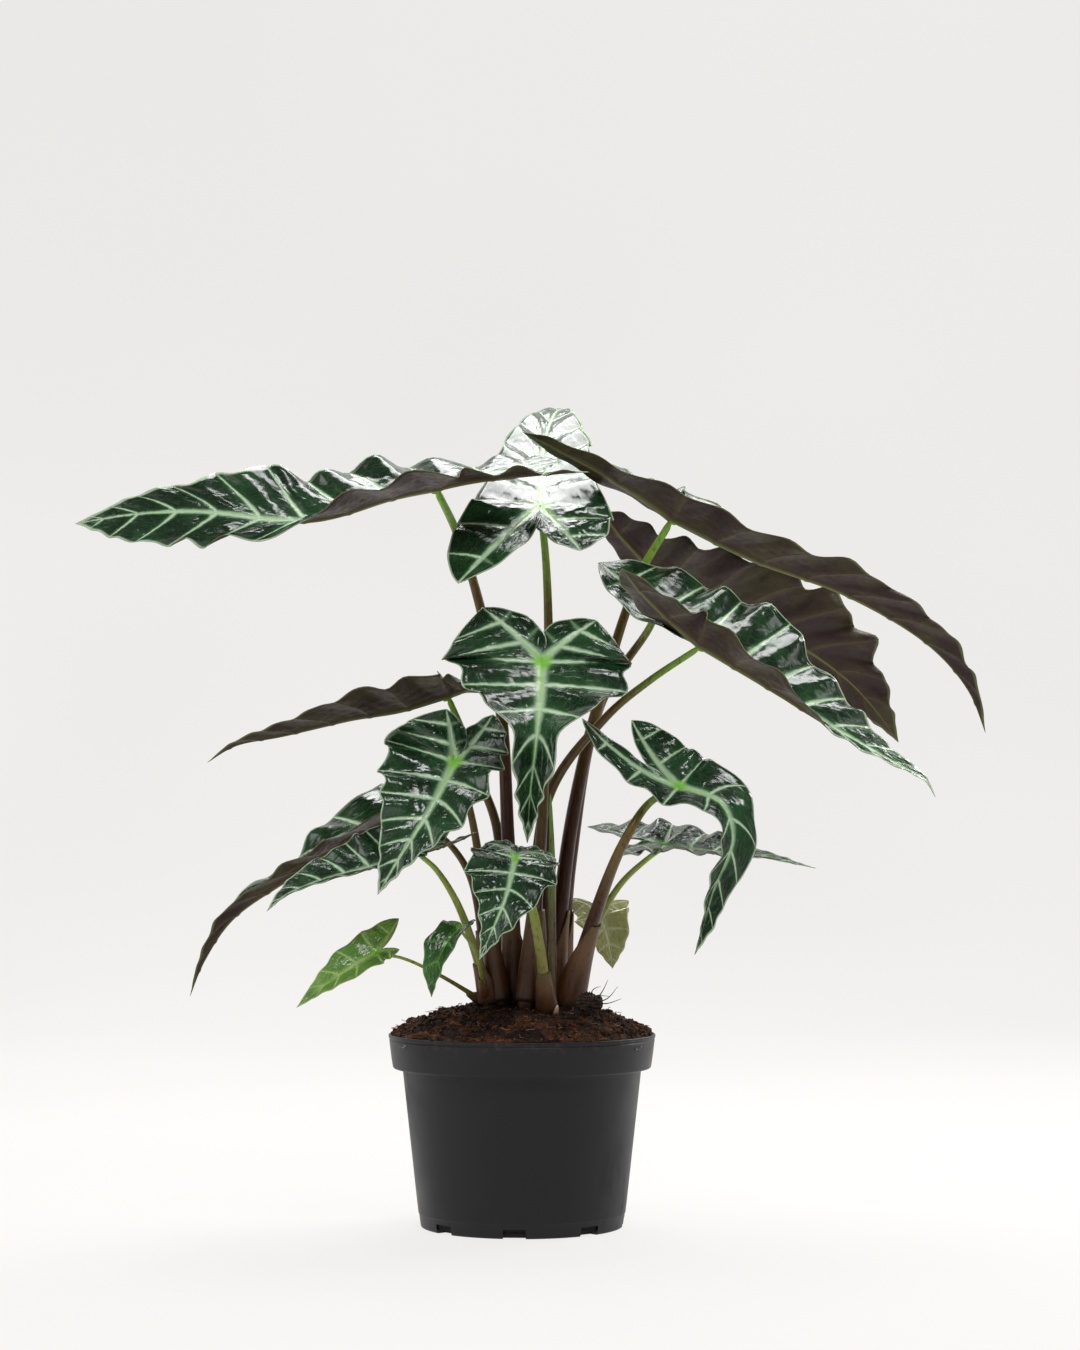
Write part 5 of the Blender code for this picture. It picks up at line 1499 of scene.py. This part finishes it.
class ALOCASIA_OT_stalks(bpy.types.Operator):
    """Build the stalk of every blade, from the soil to the junction"""
    bl_idname = "alocasia.stalks"
    bl_label = "Stalks"

    def execute(self, context):
        s = context.scene.alocasia_stalks
        blades = context.scene.alocasia_blades
        brown = stalk_skin("petiole_skin", s, s.foot, s.maroon, s.olive, s.green, s.roughness)
        olive = stalk_skin("thin_petiole_skin", s, linear("7d6a3e"), linear("7c7432"),
                           linear("8a9a3c"), linear("97bd4a"), s.roughness)
        tree = stalk_tree()
        for leaf in LEAVES:
            thin = leaf.name in OLIVE_STALKS
            points, radii = stalk_line(leaf, Blade(leaf, blades))
            line = curve_object("line_" + leaf.name, (points, radii))
            piece = tree.make("stalk_" + leaf.name, line, Sides=s.sides,
                              Material=olive if thin else brown)
            bpy.data.objects.remove(line)
            settle(piece, "thin_petiole_skin" if thin else "petiole_skin", "petiole_" + leaf.name)
        return {"FINISHED"}


def sheath_shell(path, radii, top, steps=22, sides=18):
    """A leathery sheath wrapped round a stalk's foot: a thin closed sheet that opens upwards."""
    shares = np.linspace(0, top, steps)
    centres, ways = path.at(shares), path.direction(shares)
    middle = np.array([CROWN_CENTRE[0], CROWN_CENTRE[1], 0.0])
    inward = middle - centres[0]
    inward[2] = 0.0
    inward = unit(inward)
    grid = []
    for k, (centre, way) in enumerate(zip(centres, ways)):
        up = k / (steps - 1)
        side = unit(inward - (inward @ way) * way)
        other = np.cross(way, side)
        half = math.radians(SHEATH_WRAP - SHEATH_OPENING * up**1.6)
        radius = float(along(radii, shares[k])) + SHEATH_GAP + SHEATH_SWELL * (1 - up)
        angles = np.linspace(-half, half, sides)
        flare = 1 + SHEATH_FLARE * np.abs(angles / half) ** 4 * (1 - up)
        grid.append(centre + (radius * flare)[:, None]
                    * (-np.cos(angles)[:, None] * side + np.sin(angles)[:, None] * other))
    grid = np.array(grid)
    inner = centres[:, None] + (grid - centres[:, None]) * (
        1 - SHEATH_THICKNESS / np.linalg.norm(grid - centres[:, None], axis=2, keepdims=True))
    return grid, inner


def sheet_shell(outer, inner, base):
    """Faces that close a grid and its inner copy into one thin body."""
    rows, columns = outer.shape[:2]
    n = rows * columns
    number = base + np.arange(n).reshape(rows, columns)
    faces = []
    for i in range(rows - 1):
        for j in range(columns - 1):
            a, b, c, d = number[i, j], number[i, j + 1], number[i + 1, j + 1], number[i + 1, j]
            faces.append([d, c, b, a])
            faces.append([b + n, c + n, d + n, a + n])
    rim = [*number[0, :], *number[1:, -1], *number[-1, -2::-1], *number[-2:0:-1, 0]]
    for k, v in enumerate(rim):
        w = rim[k - 1]
        faces.append([v + n, w + n, w, v])
    return faces


class ALOCASIA_OT_sheaths(bpy.types.Operator):
    """Build the sheathing feet that hold the stalks together at the soil"""
    bl_idname = "alocasia.sheaths"
    bl_label = "Sheaths"

    def execute(self, context):
        s = context.scene.alocasia_stalks
        skin = stalk_skin("sheath_skin", s, linear("2c1a10"), s.foot, linear("62462a"),
                          linear("56491f"), s.roughness + 0.12)
        points, faces, ways = [], [], []
        for leaf in LEAVES:
            blade = Blade(leaf, context.scene.alocasia_blades)
            path = Path(np.vstack([place(leaf.stalk), blade.rib.at(0.0)]))
            top = min(SHEATH_LONGEST, leaf.parts_at * MM * SHEATH_REACH / path.length)
            outer, inner = sheath_shell(path, stalk_profile(leaf.stalk_r), top)
            faces += sheet_shell(outer, inner, len(points))
            for grid in (outer, inner):
                points += list(grid.reshape(-1, 3))
                ways += list(np.repeat(np.linspace(0, 1, len(grid)), grid.shape[1]))
        piece = add_mesh("sheathing_feet", points, faces, [skin])
        give_values(piece.data, "way", "FLOAT", ways)
        settle(piece, "sheath_skin", "crown")
        return {"FINISHED"}


class ALOCASIA_OT_young_leaf(bpy.types.Operator):
    """Build the rolled young leaf, a pointed green spear with the roll's edge winding up it"""
    bl_idname = "alocasia.young_leaf"
    bl_label = "Rolled young leaf"

    def execute(self, context):
        s = context.scene.alocasia_stalks
        path = Path(place(SPEAR))
        radii = stalk_profile(SPEAR_R)
        rows, sides = 90, 40
        points, ways = [], []
        shares = np.linspace(0, 1, rows)
        centres, directions = path.at(shares), path.direction(shares)
        side = unit(np.cross(directions[0], [0.31, 0.95, 0.02]))
        for share, centre, way in zip(shares, centres, directions):
            side = unit(side - (side @ way) * way)
            other = np.cross(way, side)
            turn = np.linspace(0, 2 * np.pi, sides, endpoint=False)
            roll = (turn - 5.0 * share) % (2 * np.pi) / (2 * np.pi)
            r = float(along(radii, share)) * (0.9 + 0.16 * roll)
            if share > 0.9:
                r = r * math.sqrt(max(0.0, 1 - ((share - 0.9) / 0.1) ** 2) + 0.004)
            points += list(centre + r[:, None] * (np.cos(turn)[:, None] * side
                                                  + np.sin(turn)[:, None] * other))
            ways += [share] * sides
        faces = tube_faces(rows, sides)
        skin = stalk_skin("young_leaf_roll", s, linear("4a3222"), linear("4f3c22"),
                          linear("5f7a32"), linear("6fa23e"), 0.3)
        piece = add_mesh("young_leaf_roll", points, faces, [skin])
        give_values(piece.data, "way", "FLOAT", ways)
        settle(piece, "young_blade_green", "rolled_young_leaf")
        return {"FINISHED"}


def dead_roots(middle, skin):
    """Thin dead roots that stand up round the old shoot."""
    lines = []
    for ends in DEAD_ROOTS:
        path = Path(np.array(ends) * MM + np.array(middle))
        lines.append((path.at(np.linspace(0, 1, 14)), np.linspace(*DEAD_ROOT_RADII, 14)))
    line = curve_object("dead_root_lines", *lines)
    piece = stalk_tree().make("dead_roots", line, Sides=6, Material=skin)
    bpy.data.objects.remove(line)
    return piece


def bud(s):
    """A pale new bud breaking through at the front of the crown."""
    path = Path(place(BUD))
    shares = np.linspace(0, 1, 20)
    radii = BUD_RADIUS * np.sqrt(np.maximum(1 - shares**2.5, 0.02))
    line = curve_object("bud_line", (path.at(shares), radii))
    skin = stalk_skin("bud_skin", s, linear("5a3a2a"), linear("8a6a52"), linear("b79c86"),
                      linear("c9b39c"), 0.4)
    piece = stalk_tree().make("pale_bud", line, Sides=16, Material=skin)
    bpy.data.objects.remove(line)
    return piece


class ALOCASIA_OT_old_shoot(bpy.types.Operator):
    """Build the dry ringed end of an old shoot lying on the soil"""
    bl_idname = "alocasia.old_shoot"
    bl_label = "Old shoot"

    def execute(self, context):
        low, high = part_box("old_shoot")
        middle, size = (low + high) / 2, high - low
        rows, sides = 60, 36
        points = []
        for k in range(rows):
            t = k / (rows - 1)
            round_off = math.sqrt(max(0.0, 1 - abs(2 * t - 1) ** 5))
            ring = 1 + 0.10 * math.sin(34 * t) ** 8 - 0.12 * t
            for j in range(sides):
                a = 2 * math.pi * j / sides
                way = Vector((0.0, math.cos(a), math.sin(a)))
                spot = Vector((low.x + size.x * t, middle.y, middle.z + 0.001 * math.sin(3 * t)))
                rough = 1 + 0.55 * noise.fractal((spot + way * 0.006) * 210, 1.0, 2.0, 3)
                points.append(spot + way * size.z * 0.46 * round_off * ring * rough)
        faces = tube_faces(rows, sides)
        skin = bark("old_shoot_bark", "140d09", "49331f")
        piece = add_mesh("old_shoot_end", points, faces, [skin])
        settle(piece, "old_shoot_bark", "old_shoot")
        settle(dead_roots(middle, skin), "old_shoot_bark")
        settle(bud(context.scene.alocasia_stalks), "sheath_skin")
        return {"FINISHED"}


# ---------------------------------------------------------------- stage

def softbox(name, spot, aim, size, power):
    """A rectangular light at a place, turned to its aim."""
    light = bpy.data.lights.new(name, "AREA")
    light.shape = "RECTANGLE"
    light.size, light.size_y = size
    light.energy = power
    obj = bpy.data.objects.new(name, light)
    bpy.context.scene.collection.objects.link(obj)
    obj.location = spot
    obj.rotation_euler = (Vector(aim) - Vector(spot)).to_track_quat("-Z", "Y").to_euler()


def backdrop(material):
    """A floor that sweeps up into a wall behind."""
    half, front, back, high, bend = 7.0, -5.0, 3.2, 6.0, 1.4
    line = [(front, 0.0), (0.0, 0.0), (back - bend, 0.0)]
    line += [(back - bend + bend * math.sin(a), bend - bend * math.cos(a))
             for a in np.linspace(0, math.pi / 2, 24)[1:]]
    line += [(back, high)]
    points = [(x, y, z) for y, z in line for x in (-half, half)]
    faces = [[2 * k, 2 * k + 1, 2 * k + 3, 2 * k + 2] for k in range(len(line) - 1)]
    return add_mesh("studio_floor", points, faces, [material])


class ALOCASIA_OT_stage(bpy.types.Operator):
    """Set the pale floor, the soft studio light and the camera"""
    bl_idname = "alocasia.stage"
    bl_label = "Stage"

    def execute(self, context):
        s = context.scene.alocasia_stage
        scene = context.scene
        floor = backdrop(pale_paper("studio_floor", s.floor, s.glow))
        world = bpy.data.worlds.new("studio")
        scene.world = world
        world.use_nodes = True
        even_light = world.node_tree.nodes["Background"].inputs
        even_light["Color"].default_value = (1.0, 0.99, 0.98, 1.0)
        even_light["Strength"].default_value = s.sky
        powers = {"overhead": s.top_power, "behind": s.back_power, "front": s.front_power,
                  "left": s.side_power, "right": s.side_power * RIGHT_SHARE}
        for name, (spot, aim, size) in LIGHTS.items():
            softbox(name, spot, aim, size, powers[name])
        camera = bpy.data.cameras.new("camera")
        camera.lens = LENS
        camera.sensor_width = SENSOR_WIDTH
        camera.dof.use_dof = False
        eye = bpy.data.objects.new("camera", camera)
        scene.collection.objects.link(eye)
        eye.location = CAMERA_PLACE
        eye.rotation_euler = (math.radians(CAMERA_TILT), 0.0, 0.0)
        scene.camera = eye
        scene.view_settings.view_transform = "Standard"
        return {"FINISHED"}


# ---------------------------------------------------------------- panel and registering

class ALOCASIA_PT_panel(bpy.types.Panel):
    """Lists the pieces of the plant and their settings"""
    bl_label = "Potted alocasia"
    bl_idname = "ALOCASIA_PT_panel"
    bl_space_type = "VIEW_3D"
    bl_region_type = "UI"
    bl_category = "Alocasia"

    def draw(self, context):
        for operator in OPERATORS:
            self.layout.operator(operator.bl_idname)
        for name, group in SETTINGS:
            box = self.layout.box()
            box.label(text=name.replace("alocasia_", "").capitalize())
            for key in group.__annotations__:
                box.prop(getattr(context.scene, name), key)


SETTINGS = (("alocasia_pot", PotSettings), ("alocasia_soil", SoilSettings),
            ("alocasia_blades", BladeSettings), ("alocasia_stalks", StalkSettings),
            ("alocasia_stage", StageSettings))
OPERATORS = (ALOCASIA_OT_pot, ALOCASIA_OT_soil, ALOCASIA_OT_roots, ALOCASIA_OT_old_shoot,
             ALOCASIA_OT_blades, ALOCASIA_OT_stalks, ALOCASIA_OT_sheaths,
             ALOCASIA_OT_young_leaf, ALOCASIA_OT_stage)


def register():
    for _, group in SETTINGS:
        bpy.utils.register_class(group)
    for cls in (*OPERATORS, ALOCASIA_PT_panel):
        bpy.utils.register_class(cls)
    for name, group in SETTINGS:
        setattr(bpy.types.Scene, name, PointerProperty(type=group))


def unregister():
    for name, _ in SETTINGS:
        delattr(bpy.types.Scene, name)
    for cls in (ALOCASIA_PT_panel, *OPERATORS):
        bpy.utils.unregister_class(cls)
    for _, group in SETTINGS:
        bpy.utils.unregister_class(group)


def main():
    register()
    for operator in OPERATORS:
        group, action = operator.bl_idname.split(".")
        getattr(getattr(bpy.ops, group), action)()


if __name__ == "__main__":
    main()
